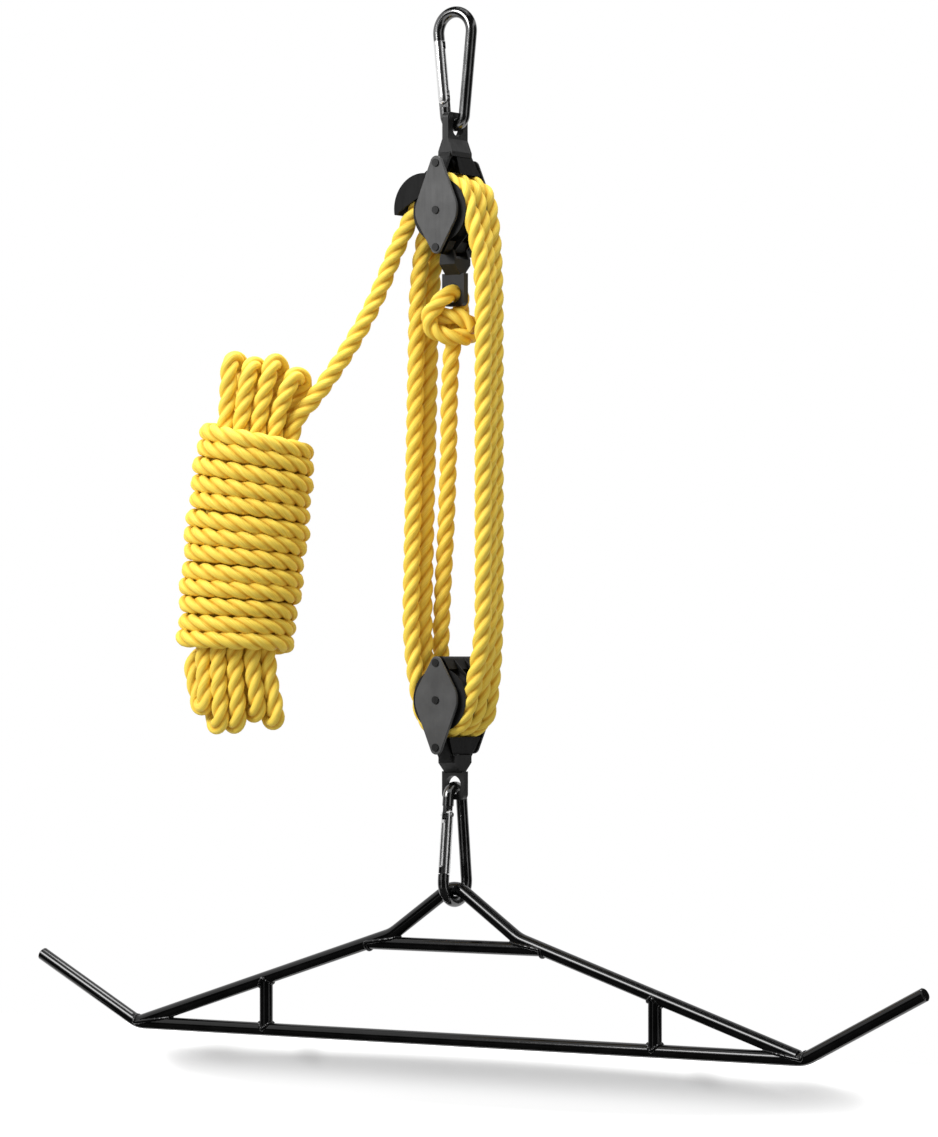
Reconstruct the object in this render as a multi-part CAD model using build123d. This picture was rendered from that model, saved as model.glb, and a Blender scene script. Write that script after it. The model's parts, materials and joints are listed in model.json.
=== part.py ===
from build123d import *
import math
import os

# Game hoist: two triple-sheave rope blocks, a snap hook at each end and a welded rod gambrel.
# Millimetres, +Z up, X along the gambrel, front faces -Y.
# The origin is the hang point: the inside of the upper snap hook's bow, at its top.

# Snap hooks: bent wire, wide bow and narrow bow joined by two straight limbs
HOOK_WIRE_R = 4.0
HOOK_WIDE_R = 14.0
HOOK_NARROW_R = 8.0
HOOK_LENGTH = 88.0
GATE_R = 4.2
GATE_HINGE_UP = 12.0
GATE_NOSE_GAP = 0.5
NOSE_END_DOWN = 4.0
TONGUE_THICK = 3.0
TONGUE_R = 3.7
GATE_SLOT = 3.4
GATE_PIN_R = 1.5
GATE_SPRING_R = 1.4
GATE_SPRING_BORE_R = 1.5
GATE_SPRING_SPAN = (20.0, 40.0)

# Blocks: everything is measured from the axle, with the eye side up
TOP_AXLE_Z = -136.9
LOWER_AXLE_Z = -478.5
FIT = 0.05
AXLE_R = 4.0
AXLE_END_R = 2.4
RIVET_R = 2.0
HEAD_R = 2.7
HEAD_HEIGHT = 1.0
EYE_RIVET_Z = 33.0
FAR_RIVET_Z = -26.0
CHEEK_MIDDLE_R = 17.8
CHEEK_EYE_TIP_R = 5.0
FAR_TIP_R = 4.4
CHEEK_THICK = 2.0
CHEEK_EDGE = 0.4
STRAP_THICK = 2.4
STRAP_INNER_Y = 19.05
STRAP_AXLE_R = 8.0
STRAP_HALF_X = 5.0
LEG_BEND_Z = 28.0
LEG_LEAN = 0.7
LEG_TOP_Z = 44.0
NECK_FOOT_Z = 38.6
NECK_SHOULDER_Z = 42.0
NECK_TOP_Z = 51.0
NECK_HALF_X = 6.0
LOWER_NECK_HALF_X = 7.0
EYE_HALF_WIDTH = 12.0
EYE_HALF_THICK = 2.5
EYE_TOP_Z = 69.8
EYE_HOLE_Z = 59.6
EYE_HOLE_R = 6.6
EYE_CORNER_R = 4.0
LOWER_EYE_HALF_WIDTH = 9.4
BECKET_LEG_Y = (7.2, 9.6)
BECKET_HALF_X = 6.5
BECKET_CROSSBAR_Z = (-37.0, -33.0)
BECKET_NECK_Z = -44.0
BECKET_END_Z = -66.0
BECKET_HOLE_Z = -57.0
RIM_CLEAR_R = 22.9
GUARD_INNER_R = 27.5
GUARD_HALF_X = (10.0, 6.0)
GUARD_HALF_Y = 18.3
GUARD_TOP_Z = 38.2
GUARD_FRONT_EDGE_Y = -6.3
LEG_CLEARANCE = 0.3
LOCK_Y = (-21.1, -7.1)
LOCK_COVER_Y = (-21.1, -19.1)
LOCK_COVER_RISE = 0.545
LOCK_LINK_Y = (-10.2, -7.1)
LOCK_EYE_R = 5.5
LOCK_INNER_R = 28.0
LOCK_EAR = (-13.5, 2.7, 24.0)
LOCK_LINK_END = (-16.0, 25.5, 4.0)
LOCK_EAR_RIGHT_X = -9.0
LOCK_EAR_FOOT_Z = -1.5
LOCK_ROPE_GAP = 0.9

# Sheaves and their pitch along the axle: a is the rear one, b the middle, c the front
SHEAVE_WIDTH = 11.8
SHEAVE_PITCH = 13.0
SHEAVE_FLANGE_R = 22.4
SHEAVE_RECESS = (8.5, 14.0, 2.0)
DIVIDER_R = 22.6
DIVIDER_THICK = 0.8
SHEAVE_Y = {"a": SHEAVE_PITCH, "b": 0.0, "c": -SHEAVE_PITCH}

# Rope
ROPE_R = 5.5
GROOVE_R = 5.6
ROPE_TURN_R = 21.5
FALL_LEAD = 48.0
RIGHT_BOW_X = {"a": 25.1, "b": 29.2, "c": 33.2}
LEFT_BOW_TOP_X = {"a": 29.5, "b": 32.0}
LEFT_BOW_LOWER_X = {"a": 21.7, "b": 27.3, "c": 29.0}
KNOT_EXIT = Vector(-6.0, 2.0, -238.0)
KNOT_CENTRE = Vector(-3.0, 0.0, -219.0)
KNOT_R = 14.0
TIE_LOOP_R = 9.0
TIE_LOOP_RISE = 0.7
FREE_LINE_ANGLE = 34.0
FREE_LINE_LEAD = 40.0
FREE_LINE = [(-50.0, -21.5, -193.0), (-61.5, -37.3, -228.5)]

# Hank of stored rope: u to the right, v to the back, w up its own leaning axis
HANK_CENTRE = Vector(-126.1, -75.6, -365.0)
HANK_TURN = 35.0
HANK_LEAN = 6.0
HANK_LOOPS = 5
WAIST_HALF = 82.0
WAIST_SWELL = 0.12
WAIST_U = (22.8, 12.0, 0.0)
WAIST_V = (5.8, 11.5, 11.6)
TOP_FAN_U = (27.8, 13.9, 0.0)
BOTTOM_FAN_U = (26.0, 13.0, 0.0)
END_DEPTH_LEAST = 9.0
TOP_BIGHT_W = (98.5, 107.5)
BOTTOM_BIGHT_W = -117.0
BIGHT_UNEVEN = 5.0
HANK_ENTRY = (38.0, -6.0, 102.5)
WRAP_TURNS = 13
WRAP_STEP = 11.6
WRAP_TILT = 0.08
WRAP_DEPTH = 25.6
WRAP_SIDE_GAP = 13.6
WRAP_START_W = -78.0
WRAP_START_ANGLE = 125.0
WRAP_RISE = (-31.0, 14.7, -90.0)
LOOSE_END_W = 50.0
LEAST_GAP = 0.4

# Gambrel, measured from the corner where the middle lines of its two arms would meet
ROD_R = 4.75
APEX_BEND_R = 14.0
KNEE = (54.0, -36.6)
KNEE_BEND_R = 30.0
ARM_END = (279.0, -107.0)
CORNER = (284.0, -108.6)
CORNER_BEND_R = 24.0
TIP = (376.0, -61.4)
CROSSBAR_DROP = -43.1
CROSSBAR_HALF = 72.0
STRUT_X = 166.0
ROD_END_CHAMFER = 0.8
HANG_GAP = 0.3

# Levels that follow from the sizes above
NARROW_WIRE_Z = HOOK_WIRE_R - HOOK_LENGTH + HOOK_WIRE_R + HOOK_WIRE_R
EYE_TO_WIRE = NARROW_WIRE_Z - (TOP_AXLE_Z + EYE_HOLE_Z)
LOWER_WIRE_Z = LOWER_AXLE_Z - EYE_HOLE_Z - EYE_TO_WIRE
LOWER_BOW_Z = LOWER_WIRE_Z + NARROW_WIRE_Z
APEX_BEND_DROP = APEX_BEND_R * (math.hypot(*KNEE) / KNEE[0] - 1)
APEX_Z = LOWER_BOW_Z + HANG_GAP + ROD_R + APEX_BEND_DROP
STRAP_OUTER_Y = STRAP_INNER_Y + STRAP_THICK
CHEEK_OUTER_Y = STRAP_OUTER_Y + CHEEK_THICK
HEAD_Y = CHEEK_OUTER_Y + FIT


def front_plate(outline, y_front, y_back):
    """Extrude an outline drawn in X and Z through the thickness from y_front to y_back."""
    drawing = Plane(origin=(0, y_back, 0), x_dir=(1, 0, 0), z_dir=(0, -1, 0))
    return extrude(drawing * outline, y_back - y_front, dir=(0, -1, 0))


def side_plate(outline, x_left, x_right):
    """Extrude an outline drawn in Y and Z through the thickness from x_left to x_right."""
    drawing = Plane(origin=(x_left, 0, 0), x_dir=(0, 1, 0), z_dir=(1, 0, 0))
    return extrude(drawing * outline, x_right - x_left, dir=(1, 0, 0))


def disc(x, z, radius):
    return Pos(x, z) * Circle(radius)


def rectangle(x_low, x_high, z_low, z_high):
    middle = Pos((x_low + x_high) / 2, (z_low + z_high) / 2)
    return middle * Rectangle(x_high - x_low, z_high - z_low)


def polygon(points):
    return Polygon(*points, align=None)


def cross_pin(z, radius, y_front, y_back):
    """Round pin along Y at the given height."""
    return front_plate(disc(0, z, radius), y_front, y_back)


def sector(inner, outer, start, end):
    """Ring sector about the axle, angles in degrees from +X towards +Z."""
    reach = 3 * outer
    steps = 4
    angles = [math.radians(start + (end - start) * i / steps) for i in range(steps + 1)]
    wedge = polygon([(0, 0)] + [(reach * math.cos(a), reach * math.sin(a)) for a in angles])
    return (Circle(outer) - Circle(inner)) & wedge


def run_edges(start, start_way, end, end_way):
    """Two arcs that leave start along start_way, meet smoothly and reach end along end_way."""
    chord = end - start
    spread = 2 * (1 - start_way.dot(end_way))
    along = chord.dot(start_way + end_way)
    if spread < 1e-9:
        arm = chord.dot(chord) / (2 * along)
    else:
        arm = (math.sqrt(along * along + spread * chord.dot(chord)) - along) / spread
    first_control = start + start_way * arm
    last_control = end - end_way * arm
    middle = (first_control + last_control) * 0.5
    middle_way = (last_control - first_control).normalized()
    edges = []
    for a, way, b in ((start, start_way, middle), (middle, middle_way, end)):
        straight = (b - a).normalized().cross(way).length < 1e-5
        edges.append(Line(a, b) if straight else TangentArc(a, b, tangent=way))
    return edges


def station_wire(stations):
    edges = []
    for (start, start_way), (end, end_way) in zip(stations, stations[1:]):
        edges += run_edges(start, start_way.normalized(), end, end_way.normalized())
    return Wire(edges)


def tube(path, radius=ROPE_R):
    """Round tube along a path of straight runs and tangent arcs."""
    section = Plane(origin=path @ 0, z_dir=path % 0) * Circle(radius)
    return sweep(section, path=path)


def cord_path(name, points):
    """Straight runs joined by arcs as large as the shorter run beside each point allows."""
    points = [Vector(p) for p in points]
    radii = []
    for before, here, after in zip(points, points[1:], points[2:]):
        shorter = min((here - before).length, (after - here).length)
        turn = math.radians((here - before).get_angle(after - here))
        radii.append(0.45 * shorter / math.tan(turn / 2))
    print(name, "bend radii", [round(r) for r in radii])
    return FilletPolyline(*points, radius=radii)


def check_tube(name, solid, path):
    ratio = solid.volume / (math.pi * ROPE_R**2 * path.length)
    print(f"{name}: length {path.length:.0f} mm, volume over section times length {ratio:.4f}")


def path_points(wire, step):
    count = int(wire.length / step)
    return [wire.position_at(i / count) for i in range(count + 1)]


def least_gap(points, others, skip):
    """Least clear distance between two runs of tube, passing over neighbours on one run."""
    best = 1e9
    for i, p in enumerate(points):
        start = i + skip if others is points else 0
        for q in others[start:]:
            best = min(best, (p.X - q.X) ** 2 + (p.Y - q.Y) ** 2 + (p.Z - q.Z) ** 2)
    return math.sqrt(best) - 2 * ROPE_R


# Snap hook pieces, drawn in X and Z with the wide bow up and its inside top at the origin
WIDE_CENTRE = Vector(0, HOOK_WIRE_R - HOOK_WIDE_R)
NARROW_CENTRE = Vector(0, 2 * HOOK_WIRE_R - HOOK_LENGTH + HOOK_WIRE_R + HOOK_NARROW_R)
LIMB_LEAN = (HOOK_WIDE_R - HOOK_NARROW_R) / (WIDE_CENTRE - NARROW_CENTRE).length
LIMB_OUT = Vector(-math.sqrt(1 - LIMB_LEAN**2), -LIMB_LEAN)
LIMB_UP = Vector(-LIMB_LEAN, math.sqrt(1 - LIMB_LEAN**2))
LIMB_TOP = WIDE_CENTRE + LIMB_OUT * HOOK_WIDE_R
LIMB_FOOT = NARROW_CENTRE + LIMB_OUT * HOOK_NARROW_R
LIMB_LENGTH = (LIMB_TOP - LIMB_FOOT).length
NOSE_AT = LIMB_LENGTH - NOSE_END_DOWN


def limb_point(distance):
    """Point on the gate limb's middle line, measured up from the narrow bow."""
    return LIMB_FOOT + LIMB_UP * distance


def in_hook_plane(point):
    return Vector(point.X, 0, point.Y)


def limb_rod(low, high, radius):
    base = Plane(origin=in_hook_plane(limb_point(low)), z_dir=in_hook_plane(LIMB_UP))
    return extrude(base * Circle(radius), high - low)


def limb_slab(low, high, half_width, thick):
    """Flat slab in the hook's plane along the gate limb."""
    side = Vector(LIMB_UP.Y, -LIMB_UP.X)
    corners = [
        limb_point(low) - side * half_width,
        limb_point(low) + side * half_width,
        limb_point(high) + side * half_width,
        limb_point(high) - side * half_width,
    ]
    return front_plate(polygon([(c.X, c.Y) for c in corners]), -thick / 2, thick / 2)


def hinge_disc(radius, thick):
    hinge = limb_point(GATE_HINGE_UP)
    return front_plate(disc(hinge.X, hinge.Y, radius), -thick / 2, thick / 2)


def mirrored(point):
    return Vector(-point.X, point.Y)


def hook_frame():
    crown = WIDE_CENTRE + Vector(0, HOOK_WIDE_R)
    foot = NARROW_CENTRE - Vector(0, HOOK_NARROW_R)
    stub = limb_point(GATE_HINGE_UP - 6)
    right = [mirrored(LIMB_TOP), mirrored(LIMB_FOOT)]
    flat = [limb_point(NOSE_AT), LIMB_TOP, crown] + right + [foot, LIMB_FOOT, stub]
    p = [in_hook_plane(q) for q in flat]
    path = Wire([
        Line(p[0], p[1]),
        ThreePointArc(p[1], p[2], p[3]),
        Line(p[3], p[4]),
        ThreePointArc(p[4], p[5], p[6]),
        Line(p[6], p[7]),
    ])
    frame = tube(path, HOOK_WIRE_R)
    frame += limb_slab(GATE_HINGE_UP - 8, GATE_HINGE_UP, TONGUE_R, TONGUE_THICK)
    frame += hinge_disc(TONGUE_R, TONGUE_THICK)
    frame += limb_slab(NOSE_AT - 5, NOSE_AT + 2, 2.6, TONGUE_THICK)
    return frame - hinge_disc(GATE_PIN_R + FIT, 10)


def hook_gate():
    """Turned rod with a ball end at the hinge, bored for its spring and slotted at both ends."""
    length = NOSE_AT - GATE_NOSE_GAP - GATE_HINGE_UP
    quarter = math.sqrt(0.5) * GATE_R
    outline = Wire([
        Line((0, -GATE_R), (0, length)),
        Line((0, length), (GATE_R, length)),
        Line((GATE_R, length), (GATE_R, 0)),
        ThreePointArc((GATE_R, 0), (quarter, -quarter), (0, -GATE_R)),
    ])
    hinge = in_hook_plane(limb_point(GATE_HINGE_UP))
    place = Plane(origin=hinge, x_dir=(0, 1, 0), z_dir=in_hook_plane(LIMB_UP))
    turned = revolve(Face(outline), Axis.Y)
    gate = place * (Rot(90, 0, 0) * turned)
    gate -= limb_slab(GATE_HINGE_UP - 6, GATE_HINGE_UP + 6, 8, GATE_SLOT)
    gate -= limb_slab(NOSE_AT - 6, NOSE_AT + 2, 8, GATE_SLOT)
    gate -= limb_rod(GATE_SPRING_SPAN[0] - 4, GATE_SPRING_SPAN[1] + 0.3, GATE_SPRING_BORE_R)
    return gate - hinge_disc(GATE_PIN_R + FIT, 20)


def gate_pin():
    return hinge_disc(GATE_PIN_R, 2 * GATE_R + 0.6)


def gate_spring():
    low, high = GATE_SPRING_SPAN
    return limb_rod(low, high, GATE_SPRING_R) - limb_rod(low - 1, high + 1, GATE_SPRING_R - 0.5)


# Block pieces, drawn about the axle with the eye side up
def hull(*circles):
    return make_hull([edge for circle in circles for edge in circle.edges()])


def cheek(y_front, y_back):
    eye_tip = disc(0, EYE_RIVET_Z, CHEEK_EYE_TIP_R)
    outline = hull(eye_tip, Circle(CHEEK_MIDDLE_R), disc(0, FAR_RIVET_Z, FAR_TIP_R))
    outline -= Circle(AXLE_END_R + FIT)
    for z in (EYE_RIVET_Z, FAR_RIVET_Z):
        outline -= disc(0, z, RIVET_R + FIT)
    plate = front_plate(outline, y_front, y_back)
    outer_face = plate.faces().sort_by(Axis.Y)[0 if y_front < 0 else -1]
    return chamfer(outer_face.outer_wire().edges(), CHEEK_EDGE)


def leg_inner_y(z):
    """Inside of a leg's leaning part, which is as thick as the upright part."""
    return STRAP_OUTER_Y - STRAP_THICK * math.hypot(1, LEG_LEAN) - LEG_LEAN * (z - LEG_BEND_Z)


def leg_outer_y(z):
    return STRAP_OUTER_Y - LEG_LEAN * (z - LEG_BEND_Z)


def leg_profile(side):
    """One leg in Y and Z: upright beside the sheaves, then leaning in to the neck."""
    inner_bend_z = LEG_BEND_Z + (leg_inner_y(LEG_BEND_Z) - STRAP_INNER_Y) / LEG_LEAN
    corners = [
        (STRAP_OUTER_Y, -STRAP_AXLE_R),
        (STRAP_OUTER_Y, LEG_BEND_Z),
        (leg_outer_y(LEG_TOP_Z), LEG_TOP_Z),
        (leg_inner_y(LEG_TOP_Z), LEG_TOP_Z),
        (STRAP_INNER_Y, inner_bend_z),
        (STRAP_INNER_Y, -STRAP_AXLE_R),
    ]
    return polygon([(side * y, z) for y, z in corners])


def strap_legs():
    front = hull(Circle(STRAP_AXLE_R), disc(0, LEG_TOP_Z - STRAP_HALF_X, STRAP_HALF_X))
    front += rectangle(-STRAP_HALF_X, STRAP_HALF_X, LEG_TOP_Z - STRAP_HALF_X, LEG_TOP_Z)
    front -= Circle(AXLE_R + FIT)
    front -= disc(0, EYE_RIVET_Z, RIVET_R + FIT)
    blank = front_plate(front, -STRAP_OUTER_Y - 1, STRAP_OUTER_Y + 1)
    legs = [blank & side_plate(leg_profile(side), -20, 20) for side in (-1, 1)]
    return legs[0] + legs[1]


def eye_outline(half_width, z_low, z_high, hole_z):
    """Flat eye with rounded outer corners, drawn upright."""
    outline = rectangle(-half_width, half_width, z_low, z_high)
    far_end = z_high if abs(z_high) > abs(z_low) else z_low
    corners = [v for v in outline.vertices() if abs(v.Y - far_end) < 0.01]
    return fillet(corners, EYE_CORNER_R) - disc(0, hole_z, EYE_HOLE_R)


def top_strap():
    """Eye turned sideways, on a neck that thins towards it."""
    neck = polygon([
        (-NECK_HALF_X, NECK_FOOT_Z),
        (NECK_HALF_X, NECK_FOOT_Z),
        (NECK_HALF_X, NECK_SHOULDER_Z),
        (EYE_HALF_THICK, NECK_TOP_Z),
        (-EYE_HALF_THICK, NECK_TOP_Z),
        (-NECK_HALF_X, NECK_SHOULDER_Z),
    ])
    eye = eye_outline(EYE_HALF_WIDTH, NECK_TOP_Z - 1, EYE_TOP_Z, EYE_HOLE_Z)
    strap = strap_legs() + front_plate(neck, -EYE_HALF_WIDTH, EYE_HALF_WIDTH)
    return strap + side_plate(eye, -EYE_HALF_THICK, EYE_HALF_THICK)


def lower_strap():
    """Eye that faces the front, on a neck that thins towards it."""
    shoulder = leg_outer_y(LEG_TOP_Z)
    neck = polygon([
        (-shoulder, NECK_FOOT_Z),
        (shoulder, NECK_FOOT_Z),
        (shoulder, LEG_TOP_Z),
        (EYE_HALF_THICK, NECK_TOP_Z),
        (-EYE_HALF_THICK, NECK_TOP_Z),
        (-shoulder, LEG_TOP_Z),
    ])
    eye = eye_outline(LOWER_EYE_HALF_WIDTH, NECK_TOP_Z - 1, EYE_TOP_Z, EYE_HOLE_Z)
    strap = strap_legs() + side_plate(neck, -LOWER_NECK_HALF_X, LOWER_NECK_HALF_X)
    return strap + front_plate(eye, -EYE_HALF_THICK, EYE_HALF_THICK)


def far_tip():
    """Pointed end of the block beyond the sheaves' rims, on the far rivet."""
    outline = hull(Circle(CHEEK_MIDDLE_R), disc(0, FAR_RIVET_Z, FAR_TIP_R)) - Circle(RIM_CLEAR_R)
    return outline - disc(0, FAR_RIVET_Z, RIVET_R + FIT)


def becket_strap():
    """Narrow strap on the far rivet with the eye that the rope is tied to."""
    foot = rectangle(-BECKET_HALF_X, BECKET_HALF_X, *BECKET_CROSSBAR_Z)
    leg = make_hull(disc(0, FAR_RIVET_Z, FAR_TIP_R).edges() + foot.edges()) - Circle(RIM_CLEAR_R)
    leg -= disc(0, FAR_RIVET_Z, RIVET_R + FIT)
    inner, outer = BECKET_LEG_Y
    neck = polygon([
        (-outer, BECKET_CROSSBAR_Z[1]),
        (-outer, BECKET_CROSSBAR_Z[0]),
        (-EYE_HALF_THICK, BECKET_NECK_Z),
        (EYE_HALF_THICK, BECKET_NECK_Z),
        (outer, BECKET_CROSSBAR_Z[0]),
        (outer, BECKET_CROSSBAR_Z[1]),
    ])
    eye = eye_outline(LOWER_EYE_HALF_WIDTH, BECKET_END_Z, BECKET_NECK_Z + 1, BECKET_HOLE_Z)
    strap = side_plate(neck, -BECKET_HALF_X, BECKET_HALF_X)
    strap += front_plate(leg, -outer, -inner) + front_plate(leg, inner, outer)
    return strap + front_plate(eye, -EYE_HALF_THICK, EYE_HALF_THICK)


def riveted_pin(z, shank_r):
    pin = cross_pin(z, shank_r, -HEAD_Y - 0.5, HEAD_Y + 0.5)
    pin += cross_pin(z, HEAD_R, -HEAD_Y - HEAD_HEIGHT, -HEAD_Y)
    return pin + cross_pin(z, HEAD_R, HEAD_Y, HEAD_Y + HEAD_HEIGHT)


def axle():
    """Pin stepped down where it goes through the cheeks."""
    shoulder = STRAP_OUTER_Y - FIT
    return riveted_pin(0, AXLE_END_R) + cross_pin(0, AXLE_R, -shoulder, shoulder)


def rivets():
    return Compound([riveted_pin(z, RIVET_R).solid() for z in (EYE_RIVET_Z, FAR_RIVET_Z)])


def spacer(with_becket):
    """Filling blocks on the far rivet, one under each sheave."""
    middle = (SHEAVE_PITCH - DIVIDER_THICK) / 2 - LEG_CLEARANCE
    edge = BECKET_LEG_Y[1] + LEG_CLEARANCE if with_becket else middle + DIVIDER_THICK + 2 * LEG_CLEARANCE
    spans = [(-GUARD_HALF_Y, -edge), (-middle, middle), (edge, GUARD_HALF_Y)]
    return Compound([front_plate(far_tip(), *span).solid() for span in spans])


def rope_guard(with_lock):
    """Filling block between the legs that keeps the rope on the sheaves."""
    foot_x, top_x = GUARD_HALF_X
    foot_z = GUARD_INNER_R - 6
    bend_z = LEG_BEND_Z + (leg_inner_y(LEG_BEND_Z) - LEG_CLEARANCE - GUARD_HALF_Y) / LEG_LEAN
    top_y = leg_inner_y(GUARD_TOP_Z) - LEG_CLEARANCE
    front = polygon([(-foot_x, foot_z), (foot_x, foot_z), (top_x, GUARD_TOP_Z), (-top_x, GUARD_TOP_Z)])
    front -= Circle(GUARD_INNER_R)
    front -= disc(0, EYE_RIVET_Z, RIVET_R + FIT)
    front_y = GUARD_FRONT_EDGE_Y if with_lock else -GUARD_HALF_Y
    front_top_y = max(front_y, -top_y)
    side = polygon([
        (front_y, foot_z),
        (GUARD_HALF_Y, foot_z),
        (GUARD_HALF_Y, bend_z),
        (top_y, GUARD_TOP_Z),
        (front_top_y, GUARD_TOP_Z),
        (front_y, bend_z),
    ])
    return front_plate(front, -GUARD_HALF_Y - 1, GUARD_HALF_Y + 1) & side_plate(side, -20, 20)


def rope_lock():
    """Curved pawl hung on the eye-side rivet, round the free line where it leaves the front sheave."""
    leave = math.radians(FREE_LINE_ANGLE)
    out = Vector(-math.cos(leave), math.sin(leave))
    away = Vector(-math.sin(leave), -math.cos(leave))
    edge = out * (ROPE_TURN_R + ROPE_R + LOCK_ROPE_GAP)
    low = edge + away * 60
    rope_side = polygon([(edge.X, edge.Y), (low.X, low.Y), (60, low.Y), (60, edge.Y)])
    keep_out = Circle(LOCK_INNER_R) + rope_side
    ear = disc(*LOCK_EAR) & rectangle(-60, LOCK_EAR_RIGHT_X, LOCK_EAR_FOOT_Z, 60)
    ear_x, ear_z, ear_r = LOCK_EAR
    left_x = ear_x - ear_r
    right_z = LOCK_EAR_FOOT_Z + LOCK_COVER_RISE * (LOCK_EAR_RIGHT_X - left_x)
    slope = [(left_x, LOCK_EAR_FOOT_Z), (LOCK_EAR_RIGHT_X, right_z), (LOCK_EAR_RIGHT_X, 60), (left_x, 60)]
    cover = disc(ear_x, ear_z, ear_r) & polygon(slope)
    link = hull(disc(0, EYE_RIVET_Z, LOCK_EYE_R), disc(*LOCK_LINK_END))
    link -= disc(0, EYE_RIVET_Z, RIVET_R + FIT)
    pawl = front_plate(ear - keep_out, *LOCK_Y) + front_plate(link - keep_out, *LOCK_LINK_Y)
    return pawl + front_plate(cover, *LOCK_COVER_Y)


def dividers():
    ring = hull(Circle(DIVIDER_R), disc(0, FAR_RIVET_Z, FAR_TIP_R)) - Circle(AXLE_R + FIT)
    ring -= disc(0, FAR_RIVET_Z, RIVET_R + FIT)
    middles = (-SHEAVE_PITCH / 2, SHEAVE_PITCH / 2)
    plates = [front_plate(ring, y - DIVIDER_THICK / 2, y + DIVIDER_THICK / 2) for y in middles]
    return Compound([p.solid() for p in plates])


def sheave():
    """Grooved wheel about Y, with a shallow ring recess in each side."""
    half = SHEAVE_WIDTH / 2
    bore = AXLE_R + FIT
    section = polygon([(bore, -half), (SHEAVE_FLANGE_R, -half), (SHEAVE_FLANGE_R, half), (bore, half)])
    section -= Pos(ROPE_TURN_R, 0) * Circle(GROOVE_R)
    inner, outer, depth = SHEAVE_RECESS
    for side in (-1, 1):
        low, high = sorted((side * half, side * (half - depth)))
        section -= polygon([(inner, low), (outer, low), (outer, high), (inner, high)])
    return revolve(section, Axis.Y)


# Rope stretches
def bow_angle(reach):
    """How far above the axle's level a fall leaves its sheave, to stand out by reach."""
    return math.atan2(FALL_LEAD, ROPE_TURN_R) - math.acos(reach / math.hypot(FALL_LEAD, ROPE_TURN_R))


def sheave_point(axle_z, end, sheave_name, side, angle):
    """Where the rope leaves a sheave; end is 1 for the upper block and -1 for the lower one."""
    x = side * ROPE_TURN_R * math.cos(angle)
    return Vector(x, SHEAVE_Y[sheave_name], axle_z + end * ROPE_TURN_R * math.sin(angle))


def lead_point(axle_z, end, sheave_name, side, angle):
    """Corner of a fall, one lead length from its sheave."""
    way = Vector(side * math.sin(angle), 0, -end * math.cos(angle))
    return sheave_point(axle_z, end, sheave_name, side, angle) + way * FALL_LEAD


def fall_end(end, sheave_name, side):
    axle_z = TOP_AXLE_Z if end > 0 else LOWER_AXLE_Z
    left = LEFT_BOW_TOP_X if end > 0 else LEFT_BOW_LOWER_X
    angle = bow_angle((RIGHT_BOW_X if side > 0 else left)[sheave_name])
    at = (axle_z, end, sheave_name, side, angle)
    return [sheave_point(*at), lead_point(*at)]


def turn_angle(end, sheave_name, side):
    if end > 0 and side < 0 and sheave_name == "c":
        return math.radians(FREE_LINE_ANGLE)
    left = LEFT_BOW_TOP_X if end > 0 else LEFT_BOW_LOWER_X
    return bow_angle((RIGHT_BOW_X if side > 0 else left)[sheave_name])


def sheave_turn(end, sheave_name):
    """Rope round one sheave, from its left fall to its right one."""
    axle_z = TOP_AXLE_Z if end > 0 else LOWER_AXLE_Z
    left = sheave_point(axle_z, end, sheave_name, -1, turn_angle(end, sheave_name, -1))
    right = sheave_point(axle_z, end, sheave_name, 1, turn_angle(end, sheave_name, 1))
    far = Vector(0, SHEAVE_Y[sheave_name], axle_z + end * ROPE_TURN_R)
    return ThreePointArc(left, far, right)


def free_line_start():
    """Straight off the front sheave, on the side away from its fall."""
    angle = math.radians(FREE_LINE_ANGLE)
    leave = sheave_point(TOP_AXLE_Z, 1, "c", -1, angle)
    return [leave, leave + Vector(-math.sin(angle), 0, -math.cos(angle)) * FREE_LINE_LEAD]


def fall(sheave_top, sheave_lower, side):
    upper = fall_end(1, sheave_top, side)
    lower = fall_end(-1, sheave_lower, side)
    return upper + lower[::-1]


def rope_knot():
    """Dead end: a loop through the becket's eye and a rounded knot under it."""
    loop_z = TOP_AXLE_Z + BECKET_HOLE_Z + TIE_LOOP_RISE - TIE_LOOP_R
    front = [Vector(0, -TIE_LOOP_R, KNOT_CENTRE.Z), Vector(0, -TIE_LOOP_R, loop_z)]
    back = [Vector(0, TIE_LOOP_R, loop_z), Vector(0, TIE_LOOP_R, KNOT_CENTRE.Z)]
    crown = Vector(0, 0, loop_z + TIE_LOOP_R)
    loop = tube(Wire([Line(*front), ThreePointArc(front[1], crown, back[0]), Line(*back)]))
    knot = Pos(KNOT_CENTRE) * Rot(0, 0, 45) * Sphere(KNOT_R)
    drop = fall_end(-1, "a", -1)[1] - KNOT_EXIT
    exit_end = extrude(Plane(origin=KNOT_EXIT, z_dir=drop) * Circle(ROPE_R), -12)
    return knot + loop + exit_end


# Hank
def hank_frame():
    turn = math.radians(HANK_TURN)
    lean = math.radians(HANK_LEAN)
    across = Vector(math.cos(turn), math.sin(turn), 0)
    up = Vector(0, 0, 1)
    u = across * math.cos(lean) - up * math.sin(lean)
    w = up * math.cos(lean) + across * math.sin(lean)
    return u, Vector(-math.sin(turn), math.cos(turn), 0), w


HANK_U, HANK_V, HANK_W = hank_frame()


def hank_way(u, v, w):
    return HANK_U * u + HANK_V * v + HANK_W * w


def hank_point(u, v, w):
    return HANK_CENTRE + hank_way(u, v, w)


def both_sides(places):
    """Places of the five strands from right to left, from the two on the right and the middle one."""
    return list(places) + [-p for p in places[-2::-1]]


def swell(w):
    """How much wider the waist is at a height than at its ends."""
    return 1 + WAIST_SWELL * (1 - (w / WAIST_HALF) ** 2)


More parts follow.
